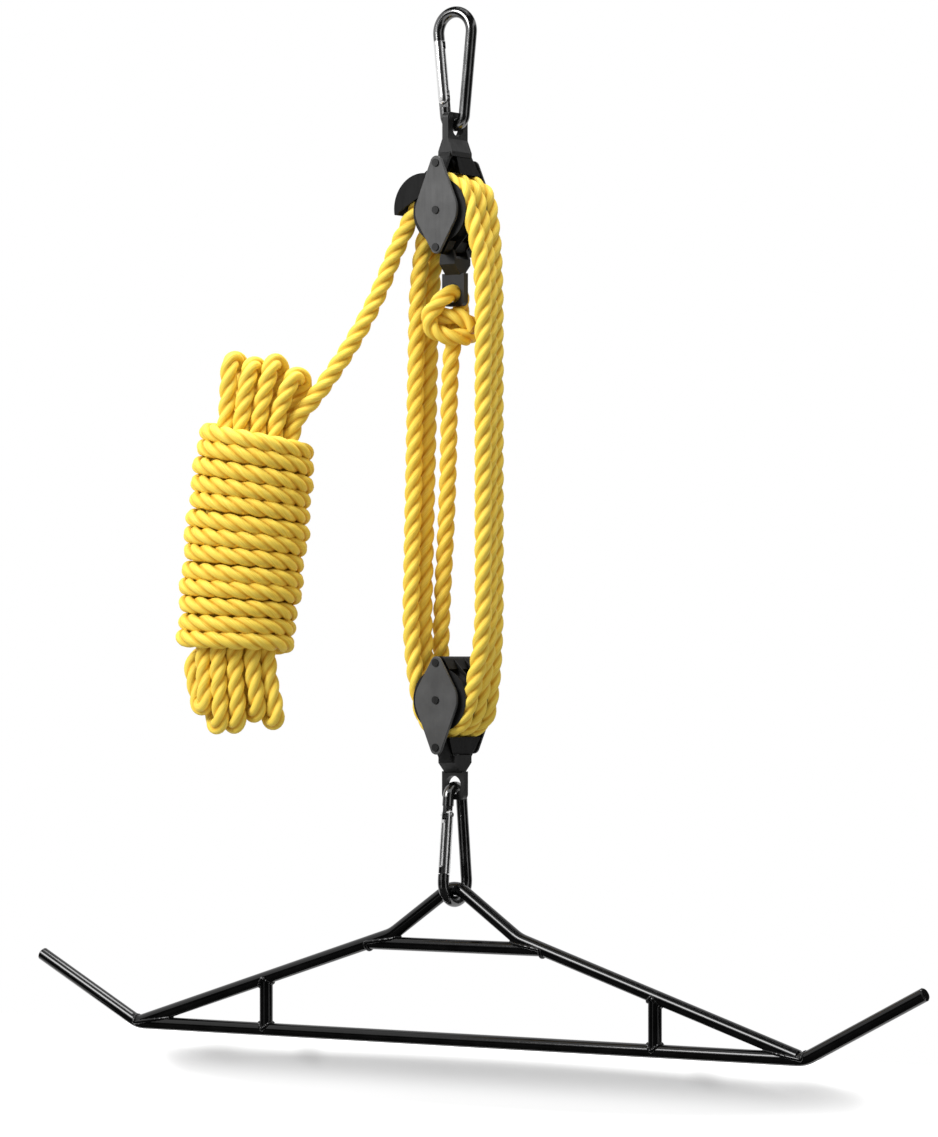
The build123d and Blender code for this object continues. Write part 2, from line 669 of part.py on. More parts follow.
def waist_stations(place, depth, up):
    """One strand through the waist, bowed outwards with it."""
    stations = []
    for w in (-WAIST_HALF, 0, WAIST_HALF):
        lean = -2 * place * WAIST_SWELL * w / WAIST_HALF**2
        stations.append((hank_point(place * swell(w), depth, w), hank_way(lean, 0, 1) * (1 if up else -1)))
    return stations if up else stations[::-1]


def hank_loop_stations(entry_way):
    """Five long loops side by side, wound front down and back up, each moving one place left."""
    down = hank_way(0, 0, -1)
    up = hank_way(0, 0, 1)
    waist, tops, bottoms = both_sides(WAIST_U), both_sides(TOP_FAN_U), both_sides(BOTTOM_FAN_U)
    depths = list(WAIST_V) + list(WAIST_V[-2::-1])
    stations = [(hank_point(*HANK_ENTRY), entry_way)]
    for index in range(HANK_LOOPS):
        depth = depths[index]
        end_depth = max(depth, END_DEPTH_LEAST)
        low_w = BOTTOM_BIGHT_W + BIGHT_UNEVEN * math.sin(2.3 * index + 0.7)
        stations += waist_stations(waist[index], -depth, False)
        stations += [
            (hank_point(bottoms[index], -end_depth, low_w), down),
            (hank_point(bottoms[index], 0, low_w - end_depth), hank_way(0, 1, 0)),
            (hank_point(bottoms[index], end_depth, low_w), up),
        ]
        if index == HANK_LOOPS - 1:
            break
        top_u, next_u = tops[index], tops[index + 1]
        next_depth = max(depths[index + 1], END_DEPTH_LEAST)
        top_w = TOP_BIGHT_W[index % 2]
        stations += waist_stations(waist[index], depth, True)
        middle = ((top_u + next_u) / 2, (end_depth - next_depth) / 2, top_w + (end_depth + next_depth) / 2)
        stations += [
            (hank_point(top_u, end_depth, top_w), up),
            (hank_point(*middle), hank_way(next_u - top_u, -end_depth - next_depth, 0)),
            (hank_point(next_u, -next_depth, top_w), down),
        ]
    return stations


def wrap_station(turns):
    """Station on the wrapping helix, an oval as wide as the waist, sloping down to the right."""
    angle = math.radians(WRAP_START_ANGLE - 360 * turns)
    w = WRAP_START_W + WRAP_STEP * turns
    half_width = WAIST_U[0] * swell(w) + WRAP_SIDE_GAP
    u = half_width * math.cos(angle)
    u_way = half_width * math.sin(angle)
    rise = WRAP_STEP / (2 * math.pi) - WRAP_TILT * u_way
    at = hank_point(u, WRAP_DEPTH * math.sin(angle), w - WRAP_TILT * u)
    return at, hank_way(u_way, -WRAP_DEPTH * math.cos(angle), rise)


def hank_wrap_stations(start):
    """Turns round the waist, from the last loop up to the loose end at the back."""
    first_back = (WRAP_START_ANGLE - 90) / 360
    stations = [start, (hank_point(*WRAP_RISE), hank_way(0, 0, 1)), wrap_station(0)]
    stations += [wrap_station(first_back + quarter / 4) for quarter in range(4 * WRAP_TURNS + 1)]
    top = WRAP_START_W + WRAP_STEP * (first_back + WRAP_TURNS)
    back = WRAP_DEPTH
    stations.append((hank_point(12, back + 4, top + 0.5), hank_way(0.75, 0.6, -0.25)))
    stations.append((hank_point(20, back + 9, top - 12), hank_way(0, 0.1, -1)))
    stations.append((hank_point(20, back + 9.5, top - LOOSE_END_W), hank_way(0, 0, -1)))
    return stations


# Gambrel
def gambrel_path(points, radii):
    left = [(-x, z) for x, z in points[::-1]]
    middle = left if points[0][0] > 0 else left[:-1]
    all_points = [Vector(x, 0, APEX_Z + z) for x, z in middle + points]
    return FilletPolyline(*all_points, radius=radii)


def brace(start, end):
    return extrude(Plane(origin=start, z_dir=end - start) * Circle(ROD_R), (end - start).length)


def arm_drop(x):
    slope = (ARM_END[1] - KNEE[1]) / (ARM_END[0] - KNEE[0])
    return KNEE[1] + slope * (x - KNEE[0])


def gambrel():
    bar = tube(gambrel_path([CORNER, TIP], [CORNER_BEND_R, CORNER_BEND_R]), ROD_R)
    ends = [f for f in bar.faces() if f.geom_type == GeomType.PLANE]
    bar = chamfer([e for f in ends for e in f.edges()], ROD_END_CHAMFER)
    upper = tube(gambrel_path([(0, 0), KNEE, ARM_END], [KNEE_BEND_R, APEX_BEND_R, KNEE_BEND_R]), ROD_R) - bar
    cross_z = APEX_Z + CROSSBAR_DROP
    cross = brace(Vector(-CROSSBAR_HALF, 0, cross_z), Vector(CROSSBAR_HALF, 0, cross_z)) - upper
    struts = []
    for x in (-STRUT_X, STRUT_X):
        foot = Vector(x, 0, APEX_Z + CORNER[1])
        head = Vector(x, 0, APEX_Z + arm_drop(STRUT_X))
        strut = brace(foot, head) - upper - bar
        struts.append(strut.solids().sort_by(SortBy.VOLUME)[-1])
    return {
        "gambrel_upper_rod": upper.solids().sort_by(SortBy.VOLUME)[-1],
        "gambrel_lower_bar": bar,
        "gambrel_crossbar": cross.solids().sort_by(SortBy.VOLUME)[-1],
        "gambrel_struts": Compound(struts),
    }


def block(prefix, place, strap, is_upper):
    pieces = {
        "strap": strap,
        "front_cheek": cheek(-CHEEK_OUTER_Y, -STRAP_OUTER_Y),
        "rear_cheek": cheek(STRAP_OUTER_Y, CHEEK_OUTER_Y),
        "axle": axle(),
        "rivets": rivets(),
        "spacer": spacer(is_upper),
        "rope_guard": rope_guard(is_upper),
        "dividers": dividers(),
    }
    for name, y in SHEAVE_Y.items():
        pieces["sheave_" + name] = Pos(0, y, 0) * sheave()
    return {f"{prefix}_{name}": place * piece for name, piece in pieces.items()}


def snap_hook(prefix, place):
    pieces = {
        "hook_frame": hook_frame(),
        "hook_gate": hook_gate(),
        "gate_pin": gate_pin(),
        "gate_spring": gate_spring(),
    }
    return {f"{prefix}_{name}": place * piece for name, piece in pieces.items()}


def rope():
    pieces = {"rope_knot": rope_knot()}
    for name in SHEAVE_Y:
        pieces["rope_top_turn_" + name] = tube(sheave_turn(1, name))
        pieces["rope_lower_turn_" + name] = tube(sheave_turn(-1, name))
    routes = {
        "rope_fall_1": [KNOT_EXIT] + fall_end(-1, "a", -1)[::-1],
        "rope_fall_2": fall("a", "a", 1),
        "rope_fall_3": fall("a", "b", -1),
        "rope_fall_4": fall("b", "b", 1),
        "rope_fall_5": fall("b", "c", -1),
        "rope_fall_6": fall("c", "c", 1),
        "rope_free_line": free_line_start() + FREE_LINE + [hank_point(*HANK_ENTRY)],
    }
    for name, points in routes.items():
        path = cord_path(name, points)
        pieces[name] = tube(path)
        check_tube(name, pieces[name], path)
    entry_way = hank_point(*HANK_ENTRY) - Vector(FREE_LINE[-1])
    loop_stations = hank_loop_stations(entry_way)
    loops = station_wire(loop_stations)
    wraps = station_wire(hank_wrap_stations(loop_stations[-1]))
    for name, path in (("rope_hank_loops", loops), ("rope_hank_wraps", wraps)):
        pieces[name] = tube(path)
        check_tube(name, pieces[name], path)
    loop_points = path_points(loops, 2.5)
    wrap_points = path_points(wraps, 2.5)
    near = int(18 / 2.5)
    gaps = {
        "loops to themselves": least_gap(loop_points, loop_points, near),
        "wraps to themselves": least_gap(wrap_points, wrap_points, near),
        "loops to wraps": least_gap(loop_points[:-near], wrap_points[near:], 0),
    }
    for words, gap in gaps.items():
        print(f"least gap, {words}: {gap:.2f} mm", "" if gap > LEAST_GAP else "TOO SMALL")
    return pieces


def main():
    top_place = Pos(0, 0, TOP_AXLE_Z)
    lower_place = Pos(0, 0, LOWER_AXLE_Z) * Rot(0, 180, 0)
    lower_hook_place = Pos(0, 0, LOWER_BOW_Z) * Rot(0, 0, -90) * Rot(0, 180, 0)
    pieces = snap_hook("top", Pos(0, 0, 0))
    pieces |= block("top", top_place, top_strap(), True)
    pieces["becket_strap"] = top_place * becket_strap()
    pieces["rope_lock"] = top_place * rope_lock()
    pieces |= block("lower", lower_place, lower_strap(), False)
    pieces |= snap_hook("lower", lower_hook_place)
    pieces |= gambrel()
    pieces |= rope()
    os.makedirs("parts", exist_ok=True)
    for name, shape in pieces.items():
        export_step(shape, f"parts/{name}.step")
    print("apex", round(APEX_Z, 2), "lower bow", round(LOWER_BOW_Z, 2), "pieces", len(pieces))


main()
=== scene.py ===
# %% [markdown]
# # A game hoist
# The hoist hangs from a snap hook. Two rope blocks make the tackle, a second snap hook holds the
# gambrel, and the spare rope is wound into a hank. The CAD model gives every rigid piece, so this
# lesson adds what CAD leaves plain: the laid rope, its knot, the welds and all the finishes.

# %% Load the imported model
import json
import math

import bpy
import numpy as np
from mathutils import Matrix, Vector


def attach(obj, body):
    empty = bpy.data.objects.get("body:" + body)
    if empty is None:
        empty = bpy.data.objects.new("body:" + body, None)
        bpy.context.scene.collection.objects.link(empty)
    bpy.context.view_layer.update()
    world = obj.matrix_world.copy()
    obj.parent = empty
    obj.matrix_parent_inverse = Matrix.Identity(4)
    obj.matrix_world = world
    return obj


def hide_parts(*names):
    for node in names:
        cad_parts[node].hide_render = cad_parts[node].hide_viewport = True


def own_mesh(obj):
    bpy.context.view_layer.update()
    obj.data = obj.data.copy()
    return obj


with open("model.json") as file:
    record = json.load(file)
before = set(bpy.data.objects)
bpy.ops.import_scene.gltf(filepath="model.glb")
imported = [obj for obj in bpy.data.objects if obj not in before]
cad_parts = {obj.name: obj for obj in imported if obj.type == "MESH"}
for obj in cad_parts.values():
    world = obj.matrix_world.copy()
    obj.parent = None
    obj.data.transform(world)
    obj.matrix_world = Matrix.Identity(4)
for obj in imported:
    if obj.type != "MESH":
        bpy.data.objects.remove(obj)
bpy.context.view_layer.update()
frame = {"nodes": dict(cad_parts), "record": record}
nodes = frame["nodes"]
MM = 0.001

# %% [markdown]
# ## The camera
# The picture was taken level with the middle of the hoist, from the right of its front, through a
# long lens. A camera that simply looks at a point keeps the same distance when other views turn it.

# %% Camera
VIEW_TURN = math.radians(35)
VIEW_RIGHT = np.array([math.cos(VIEW_TURN), math.sin(VIEW_TURN), 0.0])
VIEW_NEAR = np.array([math.sin(VIEW_TURN), -math.cos(VIEW_TURN), 0.0])
VIEW_DISTANCE = 3283 * MM
AXIS_LEFT_OF_MIDDLE = 9.8 * MM
EYE_LEVEL = -452 * MM
AIM_LEVEL = -386.6 * MM
LENS_LENGTH = 148.5
SENSOR_WIDTH = 36


def look_at(holder, place, target):
    """Turn an object at place so that its -Z points to target and its Y stays upright."""
    holder.location = place
    holder.rotation_euler = (Vector(target) - Vector(place)).to_track_quat("-Z", "Y").to_euler()


lens = bpy.data.cameras.new("photo_camera")
lens.lens = LENS_LENGTH
lens.sensor_width = SENSOR_WIDTH
camera = bpy.data.objects.new("photo_camera", lens)
bpy.context.scene.collection.objects.link(camera)
bpy.context.scene.camera = camera
sideways = VIEW_RIGHT * AXIS_LEFT_OF_MIDDLE
look_at(
    camera,
    sideways + VIEW_NEAR * VIEW_DISTANCE + np.array([0, 0, EYE_LEVEL]),
    sideways + np.array([0, 0, AIM_LEVEL]),
)
print("camera at", [round(value, 3) for value in camera.location])

# %% [markdown]
# ## Meshes from arrays
# Every new piece is a grid of points: rows along a path, columns round it. One helper turns such a
# grid into a closed mesh, so that the shapes themselves stay short formulas.


# %% Grid to mesh
def grid_mesh(name, rings, uv=None, joined=False):
    """Mesh from rings[row, column, xyz], closed round the columns; its ends are joined or fanned shut."""
    rows, columns, _ = rings.shape
    row, column = np.meshgrid(np.arange(rows if joined else rows - 1), np.arange(columns), indexing="ij")
    below, after = (row + 1) % rows, (column + 1) % columns
    quads = np.stack(
        [row * columns + column, row * columns + after, below * columns + after, below * columns + column],
        axis=-1,
    ).reshape(-1, 4)
    points = rings.reshape(-1, 3)
    loops, totals = quads.ravel(), np.full(len(quads), 4)
    loop_uv = None
    if uv is not None:
        along, around = uv
        high = np.append(around[1:], around[-1] + (around[1] - around[0]))
        corners = [(row, around[column]), (row, high[column]), (below, high[column]), (below, around[column])]
        loop_uv = np.stack([np.stack([along[r], v], axis=-1) for r, v in corners], axis=2).reshape(-1, 2)
    if not joined:
        tips = np.stack([rings[0].mean(axis=0), rings[-1].mean(axis=0)])
        turn = np.arange(columns)
        following = (turn + 1) % columns
        last = (rows - 1) * columns
        start_fan = np.stack([np.full(columns, len(points)), following, turn], axis=-1)
        end_fan = np.stack([np.full(columns, len(points) + 1), last + turn, last + following], axis=-1)
        points = np.concatenate([points, tips])
        loops = np.concatenate([loops, start_fan.ravel(), end_fan.ravel()])
        totals = np.concatenate([totals, np.full(2 * columns, 3)])
        if loop_uv is not None:
            fan_uv = np.repeat([[along[0], 0.5], [along[-1], 0.5]], 3 * columns, axis=0)
            loop_uv = np.concatenate([loop_uv, fan_uv])
    mesh = bpy.data.meshes.new(name)
    mesh.vertices.add(len(points))
    mesh.vertices.foreach_set("co", points.astype(np.float32).ravel())
    mesh.loops.add(len(loops))
    mesh.loops.foreach_set("vertex_index", loops.astype(np.int32))
    mesh.polygons.add(len(totals))
    mesh.polygons.foreach_set("loop_start", (np.cumsum(totals) - totals).astype(np.int32))
    mesh.polygons.foreach_set("use_smooth", np.ones(len(totals), bool))
    if loop_uv is not None:
        layer = mesh.uv_layers.new(name="lay")
        layer.data.foreach_set("uv", loop_uv.astype(np.float32).ravel())
    mesh.update(calc_edges=True)
    mesh.validate()
    return mesh


def place_piece(name, mesh, body, replaced=()):
    """Put a mesh in the scene as a piece that rides on a body and stands for the named nodes."""
    piece = bpy.data.objects.new(name, mesh)
    bpy.context.scene.collection.objects.link(piece)
    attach(piece, body)
    if replaced:
        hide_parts(*replaced)
    return piece


# %% [markdown]
# ## The rope's route
# One rope makes the whole tackle. It starts in the knot under the upper block, runs three times
# down and up between the blocks, leaves as the free line and ends in the hank. The route is a list
# of corners in millimetres, and a smooth NURBS line through them is the rope's middle.

# %% Places on the blocks
TOP_AXLE = -136.9
LOWER_AXLE = -478.5
TURN_R = 21.5
LEAD = 48.0
SHEAVE_Y = {"a": 13.0, "b": 0.0, "c": -13.0}
RIGHT_BOW = {"a": 25.1, "b": 29.2, "c": 33.2}
LEFT_BOW_TOP = {"a": 29.5, "b": 32.0}
LEFT_BOW_LOWER = {"a": 21.7, "b": 27.3, "c": 29.0}
FREE_LINE_ANGLE = math.radians(34)
FREE_LINE_LEAD = 40.0
print("axles at", TOP_AXLE, "and", LOWER_AXLE, "mm")


def leave_angle(block, sheave, side):
    """Angle past the axle's level where the rope meets its sheave, for a fall that bows out as given.

    The lead ends at a fixed distance from the axle, and the angle turns that end out to the bow.
    """
    if block > 0 and side < 0 and sheave == "c":
        return FREE_LINE_ANGLE
    left = LEFT_BOW_TOP if block > 0 else LEFT_BOW_LOWER
    reach = (RIGHT_BOW if side > 0 else left)[sheave]
    return math.atan2(LEAD, TURN_R) - math.acos(reach / math.hypot(LEAD, TURN_R))


def sheave_point(block, sheave, side, past=0.0):
    """Point where the rope leaves a sheave, or past millimetres further along its tangent."""
    angle = leave_angle(block, sheave, side)
    axle = TOP_AXLE if block > 0 else LOWER_AXLE
    x = side * (TURN_R * math.cos(angle) + past * math.sin(angle))
    z = axle + block * (TURN_R * math.sin(angle) - past * math.cos(angle))
    return np.array([x, SHEAVE_Y[sheave], z])


def sheave_turn(block, sheave, start_side, corners=6):
    """Corners of a turn: equal steps of angle, each corner where two tangents of the turn's circle meet."""
    axle = TOP_AXLE if block > 0 else LOWER_AXLE
    left = math.pi - leave_angle(block, sheave, -1)
    right = leave_angle(block, sheave, 1)
    first, last = (left, right) if start_side < 0 else (right, left)
    step = (last - first) / corners
    angle = first + step * (np.arange(corners) + 0.5)
    reach = TURN_R / math.cos(step / 2)
    depth = np.full(corners, SHEAVE_Y[sheave])
    return np.column_stack([reach * np.cos(angle), depth, axle + block * reach * np.sin(angle)])


def fall_run(start_block, start_sheave, end_sheave, side):
    """Corners of one fall: a lead off each sheave, and a point as far along the long run from each lead."""
    upper = sheave_point(start_block, start_sheave, side, LEAD)
    lower = sheave_point(-start_block, end_sheave, side, LEAD)
    along = (lower - upper) / np.linalg.norm(lower - upper) * LEAD
    return np.array([upper, upper + along, lower - along, lower])


# %% [markdown]
# ## The hank's route
# The hank is five long loops laid side by side, then thirteen turns round their waist. A loop is two
# long strands and a bight at each end. Nothing in it is quite even, because a hand wound it: each
# bight has its own height, the ends hang straighter than the waist leans, and slow sines shift the
# turns a little up, down, in and out.

# %% Loops and wraps
HANK_CENTRE = np.array([-126.1, -75.6, -365.0])
HANK_LEAN = math.radians(6)
UPRIGHT = np.array([0.0, 0.0, 1.0])
HANK_U = math.cos(HANK_LEAN) * VIEW_RIGHT - math.sin(HANK_LEAN) * UPRIGHT
HANK_V = -VIEW_NEAR
HANK_W = math.sin(HANK_LEAN) * VIEW_RIGHT + math.cos(HANK_LEAN) * UPRIGHT
WAIST = 82.0
SWELL = 0.12
STRAND_U = np.array([21.8, 11.6, 0.0, -11.6, -21.8])
BACK_STRAND_U = np.array([16.5, 5.8, -5.8, -16.5])
STRAND_V = np.array([5.8, 11.5, 11.6, 11.5, 5.8])
TOP_FRONT_U = np.array([30.0, 19.5, 4.5, -10.0, -24.5])
TOP_BACK_U = np.array([30.0, 12.0, -2.5, -17.0])
BOTTOM_FRONT_U = np.array([35.0, 21.5, 8.5, -3.5, -15.5])
BOTTOM_BACK_U = np.array([29.0, 15.5, 2.0, -10.0, -22.0])
TOP_BIGHTS = np.array([107.0, 114.0, 110.0, 114.0])
BOTTOM_BIGHTS = np.array([-117.0, -111.0, -120.0, -122.0, -112.0])
BIGHT_SHARE = np.array([0.0, 0.21, 0.79, 1.0])
BIGHT_RISE = np.array([0.42, 1.0, 1.0, 0.42])
LEAST_BIGHT_DEPTH = 9.0
LOOPS = len(STRAND_U)
HANK_ENTRY = (38.0, -6.0, 102.5)
WRAP_TURNS = 13
WRAP_STEP = 11.75
WRAP_TILT = (-0.045, 0.0011)
WRAP_DEPTH = 25.6
WRAP_HALF = (34.6, 3.2)
WRAP_START = -80.0
WRAP_START_ANGLE = 125.0
WRAP_RISE = (-31.0, 14.7, -90.0)
WRAP_SWELLING = (0.9, 0.29, 1)
WRAP_DRIFT = (0.45, 0.37)
CORNER_SHARE = 0.75
LOOSE_END = np.array([(12, 4, 0.5), (20, 8, -6), (20, 9, -24), (20, 9.5, -50)])


def in_hank(local):
    """Points given as across, back and up in the leaning hank, in the hoist's own frame."""
    local = np.atleast_2d(np.asarray(local, float))
    return HANK_CENTRE + local @ np.array([HANK_U, HANK_V, HANK_W])


def swell(w):
    """Width of the waist over its width at the ends: a parabola of the height, widest at the middle."""
    return 1 + SWELL * (1 - (np.asarray(w) / WAIST) ** 2)


def strand(place, depth, way):
    """Three corners of a strand through the waist; way is 1 for a strand that goes up and -1 for down."""
    w = way * WAIST * np.array([-1.0, 0.0, 1.0])
    return np.column_stack([place * swell(w), np.full(3, depth), w])


def bight(u_from, v_from, u_to, v_to, w, way):
    """Four corners round a loop's end, from one strand to the next; way is 1 at the top and -1 below."""
    reach = 0.5 * abs(v_to - v_from)
    rise = way * reach * BIGHT_RISE
    across = u_from + BIGHT_SHARE * (u_to - u_from)
    return np.column_stack([across, v_from + BIGHT_SHARE * (v_to - v_from), w + rise])


def hank_loops():
    """Corners of the loops, front strand down and back strand up, each loop one place further left."""
    end_v = np.maximum(STRAND_V, LEAST_BIGHT_DEPTH)
    corners = []
    for i in range(LOOPS):
        corners.append(strand(STRAND_U[i], -STRAND_V[i], -1))
        corners.append(bight(BOTTOM_FRONT_U[i], -end_v[i], BOTTOM_BACK_U[i], end_v[i], BOTTOM_BIGHTS[i], -1))
        if i + 1 < LOOPS:
            corners.append(strand(BACK_STRAND_U[i], STRAND_V[i], 1))
            front_u, front_v = TOP_FRONT_U[i + 1], -end_v[i + 1]
            corners.append(bight(TOP_BACK_U[i], end_v[i], front_u, front_v, TOP_BIGHTS[i], 1))
    return np.concatenate(corners)


def hank_wraps(per_turn=16):
    """Corners of the wraps: an oval helix, widest at the middle, that slopes more and more to the right.

    The spline cuts each corner, so the corners stand out by what it cuts. The loose end is tucked down.
    """
    first_back = (WRAP_START_ANGLE - 90) / 360
    turns = np.arange(0, first_back + WRAP_TURNS + 1e-6, 1 / per_turn)
    angle = np.radians(WRAP_START_ANGLE - 360 * turns)
    w = WRAP_START + WRAP_STEP * turns
    swelling, often, phase = WRAP_SWELLING
    uneven = swelling * np.sin(2 * math.pi * often * turns + phase)
    half_width = WRAP_HALF[0] + WRAP_HALF[1] * (1 - (w / WAIST) ** 2) + uneven
    outside = 1 / (CORNER_SHARE + (1 - CORNER_SHARE) * math.cos(2 * math.pi / per_turn))
    u = outside * half_width * np.cos(angle)
    slope = WRAP_TILT[0] + WRAP_TILT[1] * w
    drift, often = WRAP_DRIFT
    shift = drift * np.sin(2 * math.pi * often * turns)
    helix = np.column_stack([u, outside * WRAP_DEPTH * np.sin(angle), w - slope * u + shift])
    loose = LOOSE_END + [0, WRAP_DEPTH, w[-1]]
    return np.concatenate([[WRAP_RISE], helix, loose])


loops_local = hank_loops()
wraps_local = hank_wraps()
print("hank", len(loops_local), "corners in the loops", len(wraps_local), "in the turns")

# %% [markdown]
# ## The knot
# The rope's end is tied through the becket, the eye under the upper block. The rope comes up behind,
# goes through the eye, comes down in front to the left, hitches round itself and leaves a short end.
# The hitch's corners are given as right, near and up as the camera sees them, because that is how it
# is read. The corners through the eye are in the hoist's own frame.

# %% Knot route
KNOT_EXIT = np.array([-6.0, 2.0, -238.0])
FALL_1_MIDDLE = np.array([-11.0, 7.3, -330.0])
SHORT_END = [(13.5, 3.5, -218.5), (8.5, 5.0, -213.0), (0.5, 4.5, -209.5), (-8.5, 1.0, -209.5)]
ROUND_BEHIND = [(-14.5, -7.0, -213.0), (-9.5, -16.0, -217.0), (2.5, -17.0, -219.5), (11.0, -8.5, -222.5)]
ROUND_FRONT = [(9.0, 2.5, -224.5), (0.0, 6.5, -225.0), (-10.5, 6.5, -223.5), (-18.0, 6.5, -217.5)]
UP_TO_EYE = [(-18.0, 8.5, -209.0), (-12.5, 9.5, -202.0), (-7.0, 8.5, -197.0)]
THROUGH_EYE = [(0.0, -7.5, -193.6), (0.0, 7.5, -193.6), (-0.5, 8.8, -204.0), (-3.0, 6.5, -219.0)]


def knot_run():
    """Corners of the knot from the short end to the rope that hangs below it."""
    hitch = np.array(SHORT_END + ROUND_BEHIND + ROUND_FRONT + UP_TO_EYE)
    seen = hitch[:, :1] * VIEW_RIGHT + hitch[:, 1:2] * VIEW_NEAR + hitch[:, 2:] * UPRIGHT
    return np.concatenate([seen, THROUGH_EYE])


knot_corners = knot_run()
print("knot", len(knot_corners), "corners")

# %% [markdown]
# ## One smooth line
# All the runs are joined into one spline, so the rope bends smoothly and its strands stay in step
# from one stretch to the next. Where a stretch ends, the line is cut, because the falls shorten
# while the turns ride on their blocks.

# %% Join the runs
FREE_LINE_MIDDLE = [(-50.0, -21.5, -193.0), (-61.5, -37.3, -228.5)]
free_start = sheave_point(1, "c", -1)
free_lead = sheave_point(1, "c", -1, FREE_LINE_LEAD)
entry = in_hank(HANK_ENTRY)[0]
loops_end = in_hank(loops_local[-1])[0]
runs = [
    ("rope_knot", knot_corners, KNOT_EXIT),
    ("rope_fall_1", [KNOT_EXIT, FALL_1_MIDDLE, sheave_point(-1, "a", -1, LEAD)], sheave_point(-1, "a", -1)),
    ("rope_lower_turn_a", sheave_turn(-1, "a", -1), sheave_point(-1, "a", 1)),
    ("rope_fall_2", fall_run(-1, "a", "a", 1), sheave_point(1, "a", 1)),
    ("rope_top_turn_a", sheave_turn(1, "a", 1), sheave_point(1, "a", -1)),
    ("rope_fall_3", fall_run(1, "a", "b", -1), sheave_point(-1, "b", -1)),
    ("rope_lower_turn_b", sheave_turn(-1, "b", -1), sheave_point(-1, "b", 1)),
    ("rope_fall_4", fall_run(-1, "b", "b", 1), sheave_point(1, "b", 1)),
    ("rope_top_turn_b", sheave_turn(1, "b", 1), sheave_point(1, "b", -1)),
    ("rope_fall_5", fall_run(1, "b", "c", -1), sheave_point(-1, "c", -1)),
    ("rope_lower_turn_c", sheave_turn(-1, "c", -1), sheave_point(-1, "c", 1)),
    ("rope_fall_6", fall_run(-1, "c", "c", 1), sheave_point(1, "c", 1)),
    ("rope_top_turn_c", sheave_turn(1, "c", 1), free_start),
    ("rope_free_line", [free_lead, *FREE_LINE_MIDDLE], entry),
    ("rope_hank_loops", np.concatenate([[entry], in_hank(loops_local)]), loops_end),
    ("rope_hank_wraps", in_hank(wraps_local), in_hank(wraps_local[-1])[0]),
]
SPLINE_STEPS = 20
ROPE_STEP = 1.7 * MM


def smooth_line(corners, step):
    """Evenly spaced points on the quadratic NURBS line that has the corners as its control points."""
    curve = bpy.data.curves.new("rope_middle", "CURVE")
    curve.dimensions = "3D"
    curve.resolution_u = SPLINE_STEPS
    spline = curve.splines.new("NURBS")
    spline.points.add(len(corners) - 1)
    weighted = np.column_stack([corners, np.ones(len(corners))])
    spline.points.foreach_set("co", weighted.astype(np.float32).ravel())
    spline.order_u = 3
    spline.use_endpoint_u = True
    holder = bpy.data.objects.new("rope_middle", curve)
    mesh = bpy.data.meshes.new_from_object(holder)
    line = np.empty(len(mesh.vertices) * 3, np.float32)
    mesh.vertices.foreach_get("co", line)
    line = line.reshape(-1, 3).astype(float)
    bpy.data.meshes.remove(mesh)
    bpy.data.objects.remove(holder)
    bpy.data.curves.remove(curve)
    distance = np.append(0, np.cumsum(np.linalg.norm(np.diff(line, axis=0), axis=1)))
    even = np.linspace(0, distance[-1], int(distance[-1] / step) + 1)
    return np.column_stack([np.interp(even, distance, line[:, axis]) for axis in range(3)]), even


corners = np.concatenate([np.asarray(points, float) for _, points, _ in runs]) * MM
middle, travelled = smooth_line(corners, ROPE_STEP)
print("rope", len(corners), "corners", len(middle), "rings", round(travelled[-1], 3), "m")

# %% [markdown]
# ## Laid rope
# The rope has three strands twisted to the right. Its section is three overlapping round lobes,
# and the section turns once in each lay length as it is carried along the line. The carried frame
# must not spin by itself, so each small turn of the line is a quaternion, and a running product
# gives the frame at every ring. A sheave's groove presses the rope, so the section is a little
# smaller there.

# %% Ends of the stretches
LONGEST_STRETCH = 3.5
search = int(LONGEST_STRETCH / ROPE_STEP)
cuts = [0]
for _, _, end in runs[:-1]:
    ahead = np.linalg.norm(middle[cuts[-1] : cuts[-1] + search] - np.asarray(end) * MM, axis=1)
    cuts.append(cuts[-1] + int(np.argmin(ahead)))
cuts.append(len(middle) - 1)
print("stretches", len(cuts) - 1)

# %% Carry the section
ROPE_D = 11.5 * MM
LAY_LENGTH = 38 * MM
STRAND_OFFSET = 0.235 * ROPE_D
STRAND_R = 0.31 * ROPE_D
LOBE_COLUMNS = 10
PRESSED_SIZE = 0.925
PRESSED_BEYOND = 12 * MM
PRESSED_EASE = 24 * MM


def quaternion_product(a, b):
    """Row by row product of two arrays of quaternions, scalar part first."""
    scalar = a[:, :1] * b[:, :1] - np.sum(a[:, 1:] * b[:, 1:], axis=1, keepdims=True)
    vector = a[:, :1] * b[:, 1:] + b[:, :1] * a[:, 1:] + np.cross(a[:, 1:], b[:, 1:])
    return np.concatenate([scalar, vector], axis=1)


